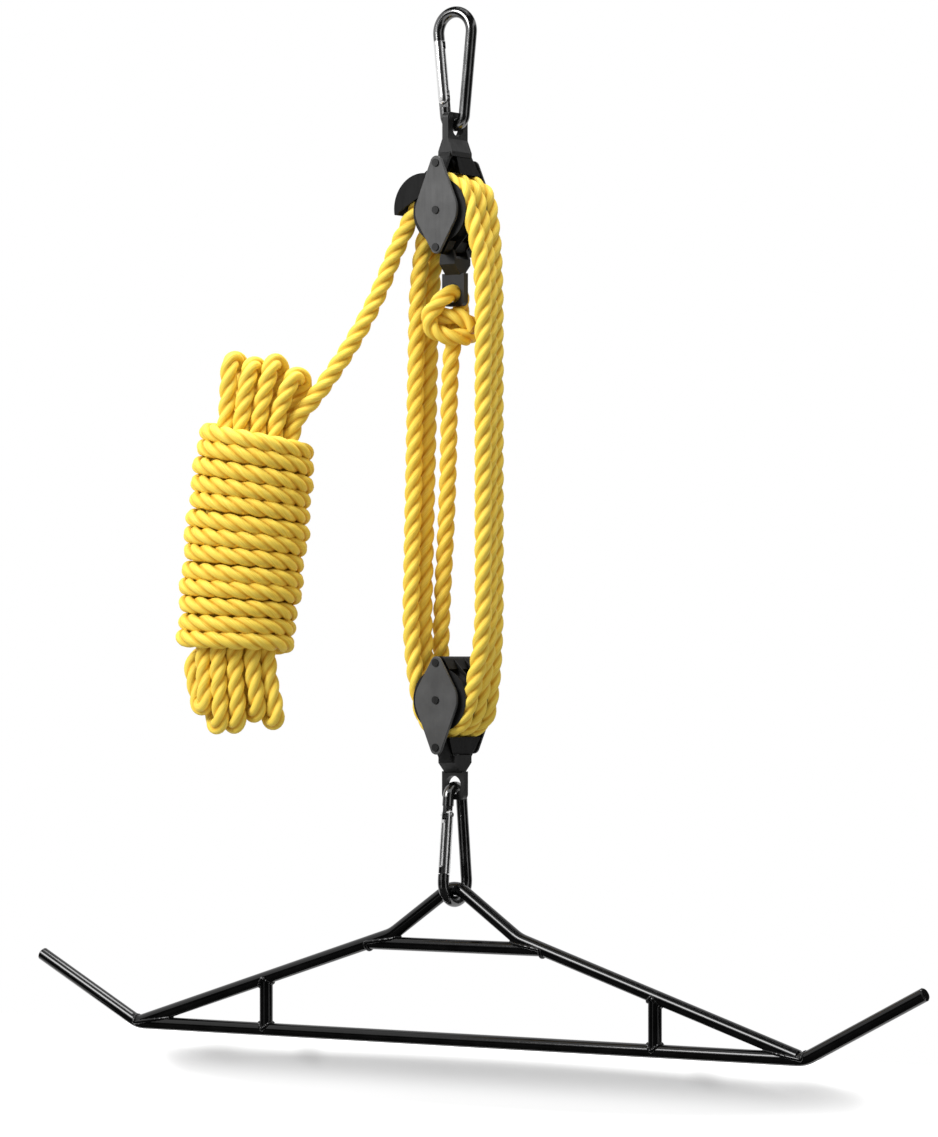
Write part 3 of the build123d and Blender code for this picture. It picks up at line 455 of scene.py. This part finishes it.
def carried_frame(line):
    """Tangent, normal and side: the first normal, turned by the running product of the line's small turns."""
    tangent = np.gradient(line, axis=0)
    tangent /= np.linalg.norm(tangent, axis=1, keepdims=True)
    cosine = np.sum(tangent[:-1] * tangent[1:], axis=1, keepdims=True)
    turn = np.concatenate([1 + cosine, np.cross(tangent[:-1], tangent[1:])], axis=1)
    turn = np.concatenate([[[1.0, 0, 0, 0]], turn / np.linalg.norm(turn, axis=1, keepdims=True)])
    reach = 1
    while reach < len(turn):
        turn[reach:] = quaternion_product(turn[reach:], turn[:-reach])
        reach *= 2
    start = np.cross(tangent[0], [0.0, 0.0, 1.0])
    start = np.tile(start / np.linalg.norm(start), (len(line), 1))
    swing = np.cross(turn[:, 1:], start)
    normal = start + 2 * (turn[:, :1] * swing + np.cross(turn[:, 1:], swing))
    return tangent, normal, np.cross(tangent, normal)


def lobe_radius(angle):
    """Distance from the rope's middle to the outside of the nearest of three round strands."""
    off = (angle + math.pi / 3) % (2 * math.pi / 3) - math.pi / 3
    return STRAND_OFFSET * np.cos(off) + np.sqrt(STRAND_R**2 - (STRAND_OFFSET * np.sin(off)) ** 2)


def size_along():
    """Size of the section at each ring: 1 when free, less in a groove, eased by a running mean."""
    pressed = np.zeros(len(middle))
    beyond = int(PRESSED_BEYOND / ROPE_STEP)
    for (name, _, _), first, last in zip(runs, cuts, cuts[1:]):
        if "turn" in name:
            pressed[first - beyond : last + beyond] = 1
    window = int(PRESSED_EASE / ROPE_STEP)
    return 1 - (1 - PRESSED_SIZE) * np.convolve(pressed, np.full(window, 1 / window), "same")


def rope_surface(line, distance, frame_axes, size):
    """Rings of the rope: the three-lobed section at its size, turned by distance over lay length."""
    _, normal, side = frame_axes
    angle = np.linspace(0, 2 * math.pi, 3 * LOBE_COLUMNS, endpoint=False)
    turned = angle[None, :] + (2 * math.pi * distance / LAY_LENGTH)[:, None]
    radius = (size[:, None] * lobe_radius(angle))[..., None]
    arm = np.cos(turned)[..., None] * normal[:, None, :] + np.sin(turned)[..., None] * side[:, None, :]
    return line[:, None, :] + radius * arm


def surface_normals(rings):
    """Normals of the uncut rope, square to its differences along and round it, so that no cut shows."""
    along = np.gradient(rings, axis=0)
    round_ring = np.roll(rings, -1, axis=1) - np.roll(rings, 1, axis=1)
    normal = np.cross(round_ring, along)
    return normal / np.linalg.norm(normal, axis=-1, keepdims=True)


rope_axes = carried_frame(middle)
rope_rings = rope_surface(middle, travelled, rope_axes, size_along())
rope_normals = surface_normals(rope_rings)
around = np.arange(3 * LOBE_COLUMNS) / LOBE_COLUMNS
print("rope across its crests", round(2 * (STRAND_OFFSET + STRAND_R) / MM, 2), "mm")

# %% Cut the rope into its stretches
rope_pieces = {}
turning = np.linalg.norm(np.diff(rope_axes[0], axis=0), axis=1)
for (name, _, _), first, last in zip(runs, cuts, cuts[1:]):
    part = slice(first, last + 1)
    mesh = grid_mesh(name, rope_rings[part], uv=(travelled[part] / LAY_LENGTH, around))
    cap_normals = rope_axes[0][[first, last]] * [[-1], [1]]
    normals = np.concatenate([rope_normals[part].reshape(-1, 3), cap_normals])
    mesh.normals_split_custom_set_from_vertices(normals)
    body = "lower_block" if "lower_turn" in name else "top_block"
    piece = place_piece("laid_" + name, mesh, body, [name])
    rope_pieces[name] = piece
    if "fall" in name:
        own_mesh(piece)
    length = round(travelled[last] - travelled[first], 3)
    tightest = ROPE_STEP / turning[first:last].max() / MM
    print(name, "length", length, "m, tightest bend", round(tightest, 1), "mm")

# %% [markdown]
# ## Melted ends
# Plastic rope frays, so its cut ends are melted. Each end is a small dome on the last ring: its
# radius follows a quarter ellipse, with a low collar where the melt has run back over the strands.

# %% Ends of the rope
MELT_LENGTH = 3.2 * MM
MELT_SPAN = (-0.7, 0.97)
MELT_RADIUS = 0.52
MELT_COLLAR = 0.05
MELT_LUMPS = 0.03
MELT_RINGS = 14


def melted_end(name, ring, way):
    """Dome on the rope's ring number ring; way is 1 past the rope's end and -1 before its start."""
    tangent, normal, side = (axis[ring] for axis in rope_axes)
    share = np.linspace(*MELT_SPAN, MELT_RINGS)
    collar = 1 + MELT_COLLAR * np.cos(3 * share)
    radius = MELT_RADIUS * ROPE_D * np.sqrt(1 - np.clip(share, 0, 1) ** 2) * collar
    angle = np.linspace(0, 2 * math.pi, 3 * LOBE_COLUMNS, endpoint=False)
    lumpy = 1 + MELT_LUMPS * np.sin(3 * angle + 1) * np.cos(5 * angle)
    arm = np.cos(angle)[:, None] * normal + np.sin(angle)[:, None] * side
    centre = middle[ring] + way * MELT_LENGTH * share[:, None] * tangent
    rings = centre[:, None, :] + radius[:, None, None] * lumpy[None, :, None] * arm[None]
    return place_piece(name, grid_mesh(name, rings[::way]), "top_block")


melted_ends = [melted_end("melted_short_end", 0, -1), melted_end("melted_loose_end", len(middle) - 1, 1)]
print("melted ends", len(melted_ends))

# %% [markdown]
# ## Free stretches
# A rope that nothing holds could be laid another way. The falls aren't free, because the blocks hold them.


# %% [markdown]
# ## Welds
# The gambrel is welded from round rod. A weld follows the seam where two rods meet. On each line
# along the branch, the seam is the place that lies one rod radius from the other rod's axis, which
# is a quadratic equation. The bead is a small tube on that seam, and its ripples come from the puddle.

# %% Weld beads
ROD_R = 4.75 * MM
APEX_LEVEL = -607.44 * MM
BAR_LEVEL = APEX_LEVEL - 108.6 * MM
KNEE = np.array([54.0, 0.0, -36.6]) * MM + APEX_LEVEL * UPRIGHT
ARM_END = np.array([279.0, 0.0, -107.0]) * MM + APEX_LEVEL * UPRIGHT
STRUT_X = 166 * MM
CROSSBAR_LEVEL = APEX_LEVEL - 43.1 * MM
BEAD_R = 1.45 * MM
RIPPLE = 2.1 * MM
RIPPLE_HEIGHT = 0.16
ALONG_BAR = np.array([1.0, 0.0, 0.0])
ARM_WAY = (ARM_END - KNEE) / np.linalg.norm(ARM_END - KNEE)
APEX_WAY = (KNEE - APEX_LEVEL * UPRIGHT) / np.linalg.norm(KNEE - APEX_LEVEL * UPRIGHT)


def circle_about(centre, way, radius, count=96):
    """Circle of points round a direction in the gambrel's plane."""
    angle = np.linspace(0, 2 * math.pi, count, endpoint=False)
    first = np.array([0.0, 1.0, 0.0])
    second = np.cross(way, first)
    return centre + radius * (np.cos(angle)[:, None] * first + np.sin(angle)[:, None] * second)


def weld_seam(branch, branch_way, branch_r, rods):
    """On each line along the branch, the least of its travels out of the rods (point, direction)."""
    start = circle_about(branch, branch_way, branch_r)
    travels = []
    for point, way in rods:
        offset = start - point
        across = offset - (offset @ way)[:, None] * way
        slant = branch_way - (branch_way @ way) * way
        half = across @ slant
        gap = half**2 - (slant @ slant) * (np.sum(across**2, axis=1) - ROD_R**2)
        travels.append((np.sqrt(np.maximum(gap, 0)) - half) / (slant @ slant))
    return start + np.min(travels, axis=0)[:, None] * branch_way


def weld_bead(name, seam, inside):
    """Closed tube on a seam, rippled along it; inside is a point on the branch's axis."""
    ahead = np.roll(seam, -1, axis=0) - np.roll(seam, 1, axis=0)
    tangent = ahead / np.linalg.norm(ahead, axis=1, keepdims=True)
    out = seam - inside
    out -= np.sum(out * tangent, axis=1, keepdims=True) * tangent
    out /= np.linalg.norm(out, axis=1, keepdims=True)
    side = np.cross(tangent, out)
    distance = np.append(0, np.cumsum(np.linalg.norm(np.diff(seam, axis=0), axis=1)))
    ripples = round((distance[-1] + distance[1]) / RIPPLE)
    wave = np.sin(2 * math.pi * ripples * np.arange(len(seam)) / len(seam))
    radius = BEAD_R * (1 + RIPPLE_HEIGHT * wave)
    angle = np.linspace(0, 2 * math.pi, 12, endpoint=False)
    arm = np.cos(angle)[None, :, None] * out[:, None, :] + np.sin(angle)[None, :, None] * side[:, None, :]
    rings = seam[:, None, :] + radius[:, None, None] * arm
    return place_piece(name, grid_mesh(name, rings, joined=True), "gambrel")


welds = []
for side_name, side in (("left", -1), ("right", 1)):
    flip = np.array([side, 1.0, 1.0])
    knee, arm_end, arm_way = KNEE * flip, ARM_END * flip, ARM_WAY * flip
    foot = np.array([side * STRUT_X, 0.0, BAR_LEVEL])
    head_level = KNEE[2] + (STRUT_X - KNEE[0]) * ARM_WAY[2] / ARM_WAY[0]
    head = np.array([side * STRUT_X, 0.0, head_level])
    crossbar_end = np.array([knee[0], 0.0, CROSSBAR_LEVEL])
    bar, arm = (foot, ALONG_BAR), (knee, arm_way)
    seams = {
        "strut_foot": (weld_seam(foot, UPRIGHT, ROD_R, [bar]), foot),
        "strut_head": (weld_seam(head, -UPRIGHT, ROD_R, [arm]), head),
        "arm": (weld_seam(arm_end, -arm_way, ROD_R, [bar]), arm_end),
        "crossbar": (
            weld_seam(crossbar_end, -side * ALONG_BAR, ROD_R, [arm, (knee, APEX_WAY * flip)]),
            crossbar_end,
        ),
    }
    for seam_name, (seam, inside) in seams.items():
        welds.append(weld_bead(f"weld_{seam_name}_{side_name}", seam, inside))
print("welds", len(welds))

# %% [markdown]
# ## Finishes
# A finish is a shader with detail at the size the real one has. Effects used by more than one
# finish are node groups, so that each is built once and set in each material.


# %% Node helpers
def shader(name):
    """New material with its Principled shader, as (material, nodes, links, shader)."""
    material = bpy.data.materials.new(name)
    material.use_nodes = True
    tree = material.node_tree
    return material, tree.nodes, tree.links, tree.nodes["Principled BSDF"]


def add(tree_nodes, kind, **settings):
    """New node of a kind, with its settings."""
    node = tree_nodes.new(kind)
    for key, value in settings.items():
        setattr(node, key, value)
    return node


def ramp(tree_nodes, stops):
    """Colour ramp with stops given as (position, colour)."""
    node = tree_nodes.new("ShaderNodeValToRGB")
    elements = node.color_ramp.elements
    while len(elements) < len(stops):
        elements.new(0.5)
    for element, (position, colour) in zip(elements, stops):
        element.position = position
        element.color = (*colour, 1)
    return node


def new_group(name, inputs, outputs):
    """Shader node group with named sockets, as (tree, input node, output node)."""
    tree = bpy.data.node_groups.new(name, "ShaderNodeTree")
    for socket, kind in inputs:
        tree.interface.new_socket(socket, in_out="INPUT", socket_type=kind)
    for socket, kind in outputs:
        tree.interface.new_socket(socket, in_out="OUTPUT", socket_type=kind)
    return tree, tree.nodes.new("NodeGroupInput"), tree.nodes.new("NodeGroupOutput")


# %% [markdown]
# Plating and paint are never quite even. Slow noise makes them cloudy, and noise stretched into lines
# makes fine scratches. Both are in one group, because every metal here has them.

# %% Surface wear
CLOUD_DETAIL = 5
SCRATCH_DETAIL = 3
SCRATCH_STRETCH = (1.0, 1.0, 0.08)
SCRATCH_TURN = (0.25, 0.35, 0.0)


def build_surface_wear():
    """Group: cloudy unevenness and fine scratches from noise on the piece's own coordinates."""
    tree, enter, leave = new_group(
        "surface_wear",
        [
            ("Place", "NodeSocketVector"),
            ("Cloud Size", "NodeSocketFloat"),
            ("Scratch Size", "NodeSocketFloat"),
        ],
        [("Cloud", "NodeSocketFloat"), ("Scratch", "NodeSocketFloat")],
    )
    cloud = add(tree.nodes, "ShaderNodeTexNoise")
    cloud.inputs["Detail"].default_value = CLOUD_DETAIL
    tree.links.new(enter.outputs["Place"], cloud.inputs["Vector"])
    tree.links.new(enter.outputs["Cloud Size"], cloud.inputs["Scale"])
    stretch = add(tree.nodes, "ShaderNodeMapping")
    stretch.inputs["Scale"].default_value = SCRATCH_STRETCH
    stretch.inputs["Rotation"].default_value = SCRATCH_TURN
    scratch = add(tree.nodes, "ShaderNodeTexNoise")
    scratch.inputs["Detail"].default_value = SCRATCH_DETAIL
    tree.links.new(enter.outputs["Place"], stretch.inputs["Vector"])
    tree.links.new(stretch.outputs["Vector"], scratch.inputs["Vector"])
    tree.links.new(enter.outputs["Scratch Size"], scratch.inputs["Scale"])
    tree.links.new(cloud.outputs["Fac"], leave.inputs["Cloud"])
    tree.links.new(scratch.outputs["Fac"], leave.inputs["Scratch"])
    return tree


surface_wear = build_surface_wear()
print("group", surface_wear.name)

# %% Metal from its tones
CLOUD_SIZE = 70
CLOUD_BAND = (0.35, 0.68)
SCRATCH_SIZE = 600
SCRATCH_BAND = (0.3, 0.7)
SCRATCH_DEPTH = 0.2 * MM


def metal_finish(name, tones, metallic, rough, bump, specular=0.4):
    """Metal or paint: grey between its two tones by cloud, roughness between its two values by scratch."""
    material, tree_nodes, links, surface = shader(name)
    place = add(tree_nodes, "ShaderNodeTexCoord")
    wear = add(tree_nodes, "ShaderNodeGroup", node_tree=surface_wear)
    wear.inputs["Cloud Size"].default_value = CLOUD_SIZE
    wear.inputs["Scratch Size"].default_value = SCRATCH_SIZE
    links.new(place.outputs["Object"], wear.inputs["Place"])
    dark, light = ((tone, tone, tone) for tone in tones)
    colour = ramp(tree_nodes, list(zip(CLOUD_BAND, (dark, light))))
    links.new(wear.outputs["Cloud"], colour.inputs["Fac"])
    links.new(colour.outputs["Color"], surface.inputs["Base Color"])
    roughness = add(tree_nodes, "ShaderNodeMapRange")
    roughness.inputs["From Min"].default_value, roughness.inputs["From Max"].default_value = SCRATCH_BAND
    roughness.inputs["To Min"].default_value, roughness.inputs["To Max"].default_value = rough
    links.new(wear.outputs["Scratch"], roughness.inputs["Value"])
    links.new(roughness.outputs["Result"], surface.inputs["Roughness"])
    relief = add(tree_nodes, "ShaderNodeBump")
    relief.inputs["Strength"].default_value = bump
    relief.inputs["Distance"].default_value = SCRATCH_DEPTH
    links.new(wear.outputs["Scratch"], relief.inputs["Height"])
    links.new(relief.outputs["Normal"], surface.inputs["Normal"])
    surface.inputs["Metallic"].default_value = metallic
    surface.inputs["Specular IOR Level"].default_value = specular
    return material


# %% Metals and paint
# Each finish is given by its tones, how metallic it is, its roughness, its relief and its shine.
finishes = {
    # The hook's wire and gate share one plating: the wire's dark tones are painted shade, and the gate's
    # light tones are a painted reflection.
    "plated_wire": metal_finish("plated_wire", (0.11, 0.18), 1.0, (0.12, 0.22), 0.006),
    "plated_gate": metal_finish("plated_gate", (0.70, 0.84), 1.0, (0.14, 0.24), 0.006),
    "pin_steel": metal_finish("pin_steel", (0.20, 0.32), 1.0, (0.25, 0.4), 0.02),
    "rivet_steel": metal_finish("rivet_steel", (0.004, 0.010), 0.0, (0.4, 0.55), 0.04, 0.25),
    "grey_plate": metal_finish("grey_plate", (0.043, 0.064), 0.0, (0.45, 0.62), 0.06),
    "black_plate": metal_finish("black_plate", (0.006, 0.014), 0.0, (0.35, 0.5), 0.05, 0.25),
    "black_filling": metal_finish("black_filling", (0.001, 0.003), 0.0, (0.45, 0.6), 0.05, 0.12),
    "black_rod": metal_finish("black_rod", (0.001, 0.003), 0.0, (0.07, 0.13), 0.02, 0.35),
    "sheave_plastic": metal_finish("sheave_plastic", (0.004, 0.008), 0.0, (0.5, 0.6), 0.04, 0.2),
}
print("metals and paint", len(finishes))

# %% [markdown]
# The rope's mesh carries its own map: how many lays along the rope, and which strand round it. The
# fraction of the second number is 0 on a crest and 0.5 in a valley, so its distance from 0.5 tells
# where painted shade turns the valleys between the strands browner. Noise stretched along the strands
# makes the fibres.

# %% Rope finish
GOLD = [(0.25, (0.78, 0.50, 0.045)), (0.5, (0.92, 0.67, 0.09)), (0.78, (0.98, 0.82, 0.20))]
# VALLEY_SHADE is painted shade: it browns the colour in the valleys between the strands.
VALLEY_SHADE = [(0.0, (0.80, 0.59, 0.31)), (0.22, (1.0, 1.0, 1.0))]
FIBRE_STRETCH = (3.0, 26.0, 1.0)
FIBRE_DETAIL = 4
FIBRE_DEPTH = 0.4 * MM
FIBRE_RELIEF = 0.35
ROPE_ROUGHNESS = 0.55
ROPE_SHINE = 0.15
AMBER = [(0.3, (0.22, 0.09, 0.006)), (0.7, (0.52, 0.27, 0.020))]
LUMP_SIZE = 400
LUMP_DEPTH = 0.4 * MM
LUMP_RELIEF = 0.3
MELT_ROUGHNESS = 0.32


def rope_finish():
    """Laid plastic rope: golden strands, with painted shade that browns the valleys, and fine fibres along
    each strand.
    """
    material, tree_nodes, links, surface = shader("rope")
    lay = add(tree_nodes, "ShaderNodeUVMap", uv_map="lay")
    split = add(tree_nodes, "ShaderNodeSeparateXYZ")
    links.new(lay.outputs["UV"], split.inputs["Vector"])
    lobe = add(tree_nodes, "ShaderNodeMath", operation="FRACT")
    links.new(split.outputs["Y"], lobe.inputs[0])
    centred = add(tree_nodes, "ShaderNodeMath", operation="SUBTRACT")
    centred.inputs[1].default_value = 0.5
    links.new(lobe.outputs["Value"], centred.inputs[0])
    valley = add(tree_nodes, "ShaderNodeMath", operation="ABSOLUTE")
    links.new(centred.outputs["Value"], valley.inputs[0])
    stretched = add(tree_nodes, "ShaderNodeMapping")
    stretched.inputs["Scale"].default_value = FIBRE_STRETCH
    links.new(lay.outputs["UV"], stretched.inputs["Vector"])
    fibre = add(tree_nodes, "ShaderNodeTexNoise")
    fibre.inputs["Scale"].default_value = 1.0
    fibre.inputs["Detail"].default_value = FIBRE_DETAIL
    links.new(stretched.outputs["Vector"], fibre.inputs["Vector"])
    gold = ramp(tree_nodes, GOLD)
    links.new(fibre.outputs["Fac"], gold.inputs["Fac"])
    # Painted shade: the colour in the valleys between the strands is multiplied towards brown.
    depth = ramp(tree_nodes, VALLEY_SHADE)
    links.new(valley.outputs["Value"], depth.inputs["Fac"])
    colour = add(tree_nodes, "ShaderNodeMix", data_type="RGBA", blend_type="MULTIPLY")
    colour.inputs["Factor"].default_value = 1.0
    links.new(gold.outputs["Color"], colour.inputs["A"])
    links.new(depth.outputs["Color"], colour.inputs["B"])
    links.new(colour.outputs["Result"], surface.inputs["Base Color"])
    relief = add(tree_nodes, "ShaderNodeBump")
    relief.inputs["Strength"].default_value = FIBRE_RELIEF
    relief.inputs["Distance"].default_value = FIBRE_DEPTH
    links.new(fibre.outputs["Fac"], relief.inputs["Height"])
    links.new(relief.outputs["Normal"], surface.inputs["Normal"])
    surface.inputs["Roughness"].default_value = ROPE_ROUGHNESS
    surface.inputs["Specular IOR Level"].default_value = ROPE_SHINE
    return material


def melted_finish():
    """Melted plastic: darker amber with soft lumps, and glossier than the strands."""
    material, tree_nodes, links, surface = shader("melted_rope")
    place = add(tree_nodes, "ShaderNodeTexCoord")
    wear = add(tree_nodes, "ShaderNodeGroup", node_tree=surface_wear)
    wear.inputs["Cloud Size"].default_value = LUMP_SIZE
    links.new(place.outputs["Object"], wear.inputs["Place"])
    amber = ramp(tree_nodes, AMBER)
    links.new(wear.outputs["Cloud"], amber.inputs["Fac"])
    links.new(amber.outputs["Color"], surface.inputs["Base Color"])
    lumps = add(tree_nodes, "ShaderNodeBump")
    lumps.inputs["Strength"].default_value = LUMP_RELIEF
    lumps.inputs["Distance"].default_value = LUMP_DEPTH
    links.new(wear.outputs["Cloud"], lumps.inputs["Height"])
    links.new(lumps.outputs["Normal"], surface.inputs["Normal"])
    surface.inputs["Roughness"].default_value = MELT_ROUGHNESS
    return material


# %% Give every piece its finish
FILLINGS = ("top_rope_guard", "lower_rope_guard", "top_spacer", "lower_spacer", "rope_lock")
finishes["rope"] = rope_finish()
slot_of = {part["node"]: part["material_slot"] for part in frame["record"]["subparts"]}
for name in FILLINGS:
    slot_of[name] = "black_filling"
for name, node in nodes.items():
    node.data.materials.clear()
    node.data.materials.append(finishes[slot_of[name]])
for piece in rope_pieces.values():
    piece.data.materials.append(finishes["rope"])
for piece in welds:
    piece.data.materials.append(finishes["black_rod"])
melted = melted_finish()
for piece in melted_ends:
    piece.data.materials.append(melted)
print("finished nodes", len(nodes), "and new pieces", len(rope_pieces) + len(welds) + len(melted_ends))

# %% [markdown]
# ## Sheet and light
# The picture has a white ground with a soft grey shadow under the gambrel. Here white paper hangs
# close behind the gambrel, from the lower bar's height down, so the soft shadow is seen face on and
# the rocking gambrel stays in front of it. Away from the shadow the paper fades into a glow as white
# as the world, for the camera, for mirrors and through glass, so no edge or horizon shows. The glow is
# painted light, and it also washes out any shadow that falls further from the bar.

# %% Stage
SHADOW_MIDDLE = np.array([0.0, 35 * MM, -750 * MM])
SHEET_TOP = -719.5 * MM
SHEET_DROP = 1.8
SHEET_REACH = 4.0
PAPER_WHITE = 0.95
PAPER_ROUGHNESS = 0.9
# FADE and FADE_ALONG_BAR shape a glow of painted light: beyond 14 to 30 mm from the shadow's middle it washes
# out the real shadow, and it thins that shadow towards the bar's ends.
FADE = (14 * MM, 30 * MM)
FADE_ALONG_BAR = 0.06


def seen_rays(tree_nodes, links):
    """Socket that is 1 for rays from the camera, from mirrors and through glass, and 0 for all others."""
    rays = add(tree_nodes, "ShaderNodeLightPath")
    first = add(tree_nodes, "ShaderNodeMath", operation="MAXIMUM")
    links.new(rays.outputs["Is Camera Ray"], first.inputs[0])
    links.new(rays.outputs["Is Glossy Ray"], first.inputs[1])
    both = add(tree_nodes, "ShaderNodeMath", operation="MAXIMUM")
    links.new(first.outputs["Value"], both.inputs[0])
    links.new(rays.outputs["Is Transmission Ray"], both.inputs[1])
    return both.outputs["Value"]


def sheet_finish():
    """White paper plus a glow of painted light that grows with the distance from the bar's shadow; clear from
    behind.
    """
    material, tree_nodes, links, surface = shader("paper")
    surface.inputs["Base Color"].default_value = (PAPER_WHITE, PAPER_WHITE, PAPER_WHITE, 1)
    surface.inputs["Roughness"].default_value = PAPER_ROUGHNESS
    surface.inputs["Specular IOR Level"].default_value = 0.0
    place = add(tree_nodes, "ShaderNodeTexCoord")
    apart = add(tree_nodes, "ShaderNodeVectorMath", operation="SUBTRACT")
    apart.inputs[1].default_value = SHADOW_MIDDLE
    links.new(place.outputs["Object"], apart.inputs[0])
    flat = add(tree_nodes, "ShaderNodeVectorMath", operation="MULTIPLY")
    flat.inputs[1].default_value = (FADE_ALONG_BAR, 0.0, 1.0)
    links.new(apart.outputs["Vector"], flat.inputs[0])
    distance = add(tree_nodes, "ShaderNodeVectorMath", operation="LENGTH")
    links.new(flat.outputs["Vector"], distance.inputs[0])
    fade = add(tree_nodes, "ShaderNodeMapRange", interpolation_type="SMOOTHSTEP")
    fade.inputs["From Min"].default_value, fade.inputs["From Max"].default_value = FADE
    links.new(distance.outputs["Value"], fade.inputs["Value"])
    glow = add(tree_nodes, "ShaderNodeMath", operation="MULTIPLY")
    links.new(fade.outputs["Result"], glow.inputs[0])
    links.new(seen_rays(tree_nodes, links), glow.inputs[1])
    surface.inputs["Emission Color"].default_value = (1, 1, 1, 1)
    links.new(glow.outputs["Value"], surface.inputs["Emission Strength"])
    front = add(tree_nodes, "ShaderNodeNewGeometry")
    clear = add(tree_nodes, "ShaderNodeBsdfTransparent")
    sides = add(tree_nodes, "ShaderNodeMixShader")
    links.new(front.outputs["Backfacing"], sides.inputs["Fac"])
    links.new(surface.outputs["BSDF"], sides.inputs[1])
    links.new(clear.outputs["BSDF"], sides.inputs[2])
    links.new(sides.outputs["Shader"], tree_nodes["Material Output"].inputs["Surface"])
    return material


def stage_sheet(name, centre, across, along, material):
    """One flat sheet of the studio, which isn't part of the hoist."""
    square = np.array([(-1, -1), (1, -1), (1, 1), (-1, 1)])
    corners = centre + square @ np.array([across, along])
    mesh = bpy.data.meshes.new(name)
    mesh.from_pydata([tuple(corner) for corner in corners], [], [(0, 1, 2, 3)])
    sheet = bpy.data.objects.new(name, mesh)
    bpy.context.scene.collection.objects.link(sheet)
    mesh.materials.append(material)
    return sheet


sheet_middle = np.array([0.0, SHADOW_MIDDLE[1], SHEET_TOP - SHEET_DROP / 2])
stage_sheet("paper", sheet_middle, SHEET_REACH * ALONG_BAR, SHEET_DROP / 2 * UPRIGHT, sheet_finish())
print("paper from", SHEET_TOP, "m down,", SHADOW_MIDDLE[1], "m behind the gambrel")

# %% [markdown]
# Gloss only shows when there is something dark to reflect. A photographer hangs black cards round
# such an object, out of the picture. These cards are seen by mirrors alone, so they take no light
# from anything else. The one below keeps the undersides of the rods black.

# %% Black cards
CARD_BLACK = 0.01
TO_THE_REAR = np.array([0.0, 1.0, 0.0])


def card_finish():
    """Dull black card."""
    material, _, _, surface = shader("black_card")
    surface.inputs["Base Color"].default_value = (CARD_BLACK, CARD_BLACK, CARD_BLACK, 1)
    surface.inputs["Roughness"].default_value = 1.0
    return material


# Each card is given by its centre and by its half width and half height as directions.
CARDS = (
    ("card_right", 1.2 * VIEW_RIGHT + 0.2 * VIEW_NEAR - 0.37 * UPRIGHT, 0.8 * VIEW_NEAR, 0.9 * UPRIGHT),
    ("card_above", 0.22 * UPRIGHT + 0.1 * VIEW_NEAR, 0.3 * VIEW_RIGHT, 0.35 * VIEW_NEAR),
    ("card_below", np.array([0.0, -0.2, -0.8]), 0.5 * ALONG_BAR, 0.22 * TO_THE_REAR),
    ("card_front", 3.6 * VIEW_NEAR - 0.4 * UPRIGHT, 3.0 * VIEW_RIGHT, 2.6 * UPRIGHT),
    ("card_left", -3.2 * VIEW_RIGHT + 0.8 * VIEW_NEAR - 0.9 * UPRIGHT, 2.2 * VIEW_NEAR, 0.9 * UPRIGHT),
)
black_card = card_finish()
for name, centre, across, along in CARDS:
    card = stage_sheet(name, centre, across, along, black_card)
    card.visible_camera = False
    card.visible_diffuse = False
    card.visible_shadow = False
    card.visible_transmission = False
print("cards", len(CARDS))

# %% [markdown]
# The room is white to the camera and to mirrors, and gives the object a plain soft light. Three soft
# boxes do the rest: the key from the front left, a weak fill from the right, and one overhead for the
# tops of the plates and rods.

# %% World and lamps
ROOM_LIGHT = 0.45
MIDDLE_OF_HOIST = (0, 0, -0.37)
# Each lamp is given by its place, its width and height in metres and its power in watts.
LAMPS = (
    ("key", (-0.9, -2.2, 0.9), 1.2, 1.0, 68),
    ("fill", (2.2, -0.9, 0.3), 1.0, 1.8, 2),
    ("overhead", (0, 0, 1.6), 1.2, 0.9, 48),
)


def white_room():
    """World that the camera and mirrors see as white, and that lights the object with a plain soft grey."""
    world = bpy.data.worlds.new("white_room")
    bpy.context.scene.world = world
    world.use_nodes = True
    tree_nodes, links = world.node_tree.nodes, world.node_tree.links
    background = tree_nodes["Background"]
    strength = add(tree_nodes, "ShaderNodeMapRange")
    strength.inputs["To Min"].default_value = ROOM_LIGHT
    strength.inputs["To Max"].default_value = 1.0
    links.new(seen_rays(tree_nodes, links), strength.inputs["Value"])
    background.inputs["Color"].default_value = (1, 1, 1, 1)
    links.new(strength.outputs["Result"], background.inputs["Strength"])


def soft_box(name, place, width, height, power):
    """Rectangular lamp at a place, turned to the middle of the hoist."""
    lamp = bpy.data.lights.new(name, "AREA")
    lamp.shape = "RECTANGLE"
    lamp.size, lamp.size_y, lamp.energy = width, height, power
    holder = bpy.data.objects.new(name, lamp)
    bpy.context.scene.collection.objects.link(holder)
    look_at(holder, place, MIDDLE_OF_HOIST)


white_room()
for lamp_values in LAMPS:
    soft_box(*lamp_values)
print("lamps", len(LAMPS))
bpy.context.scene.view_settings.view_transform = "Standard"
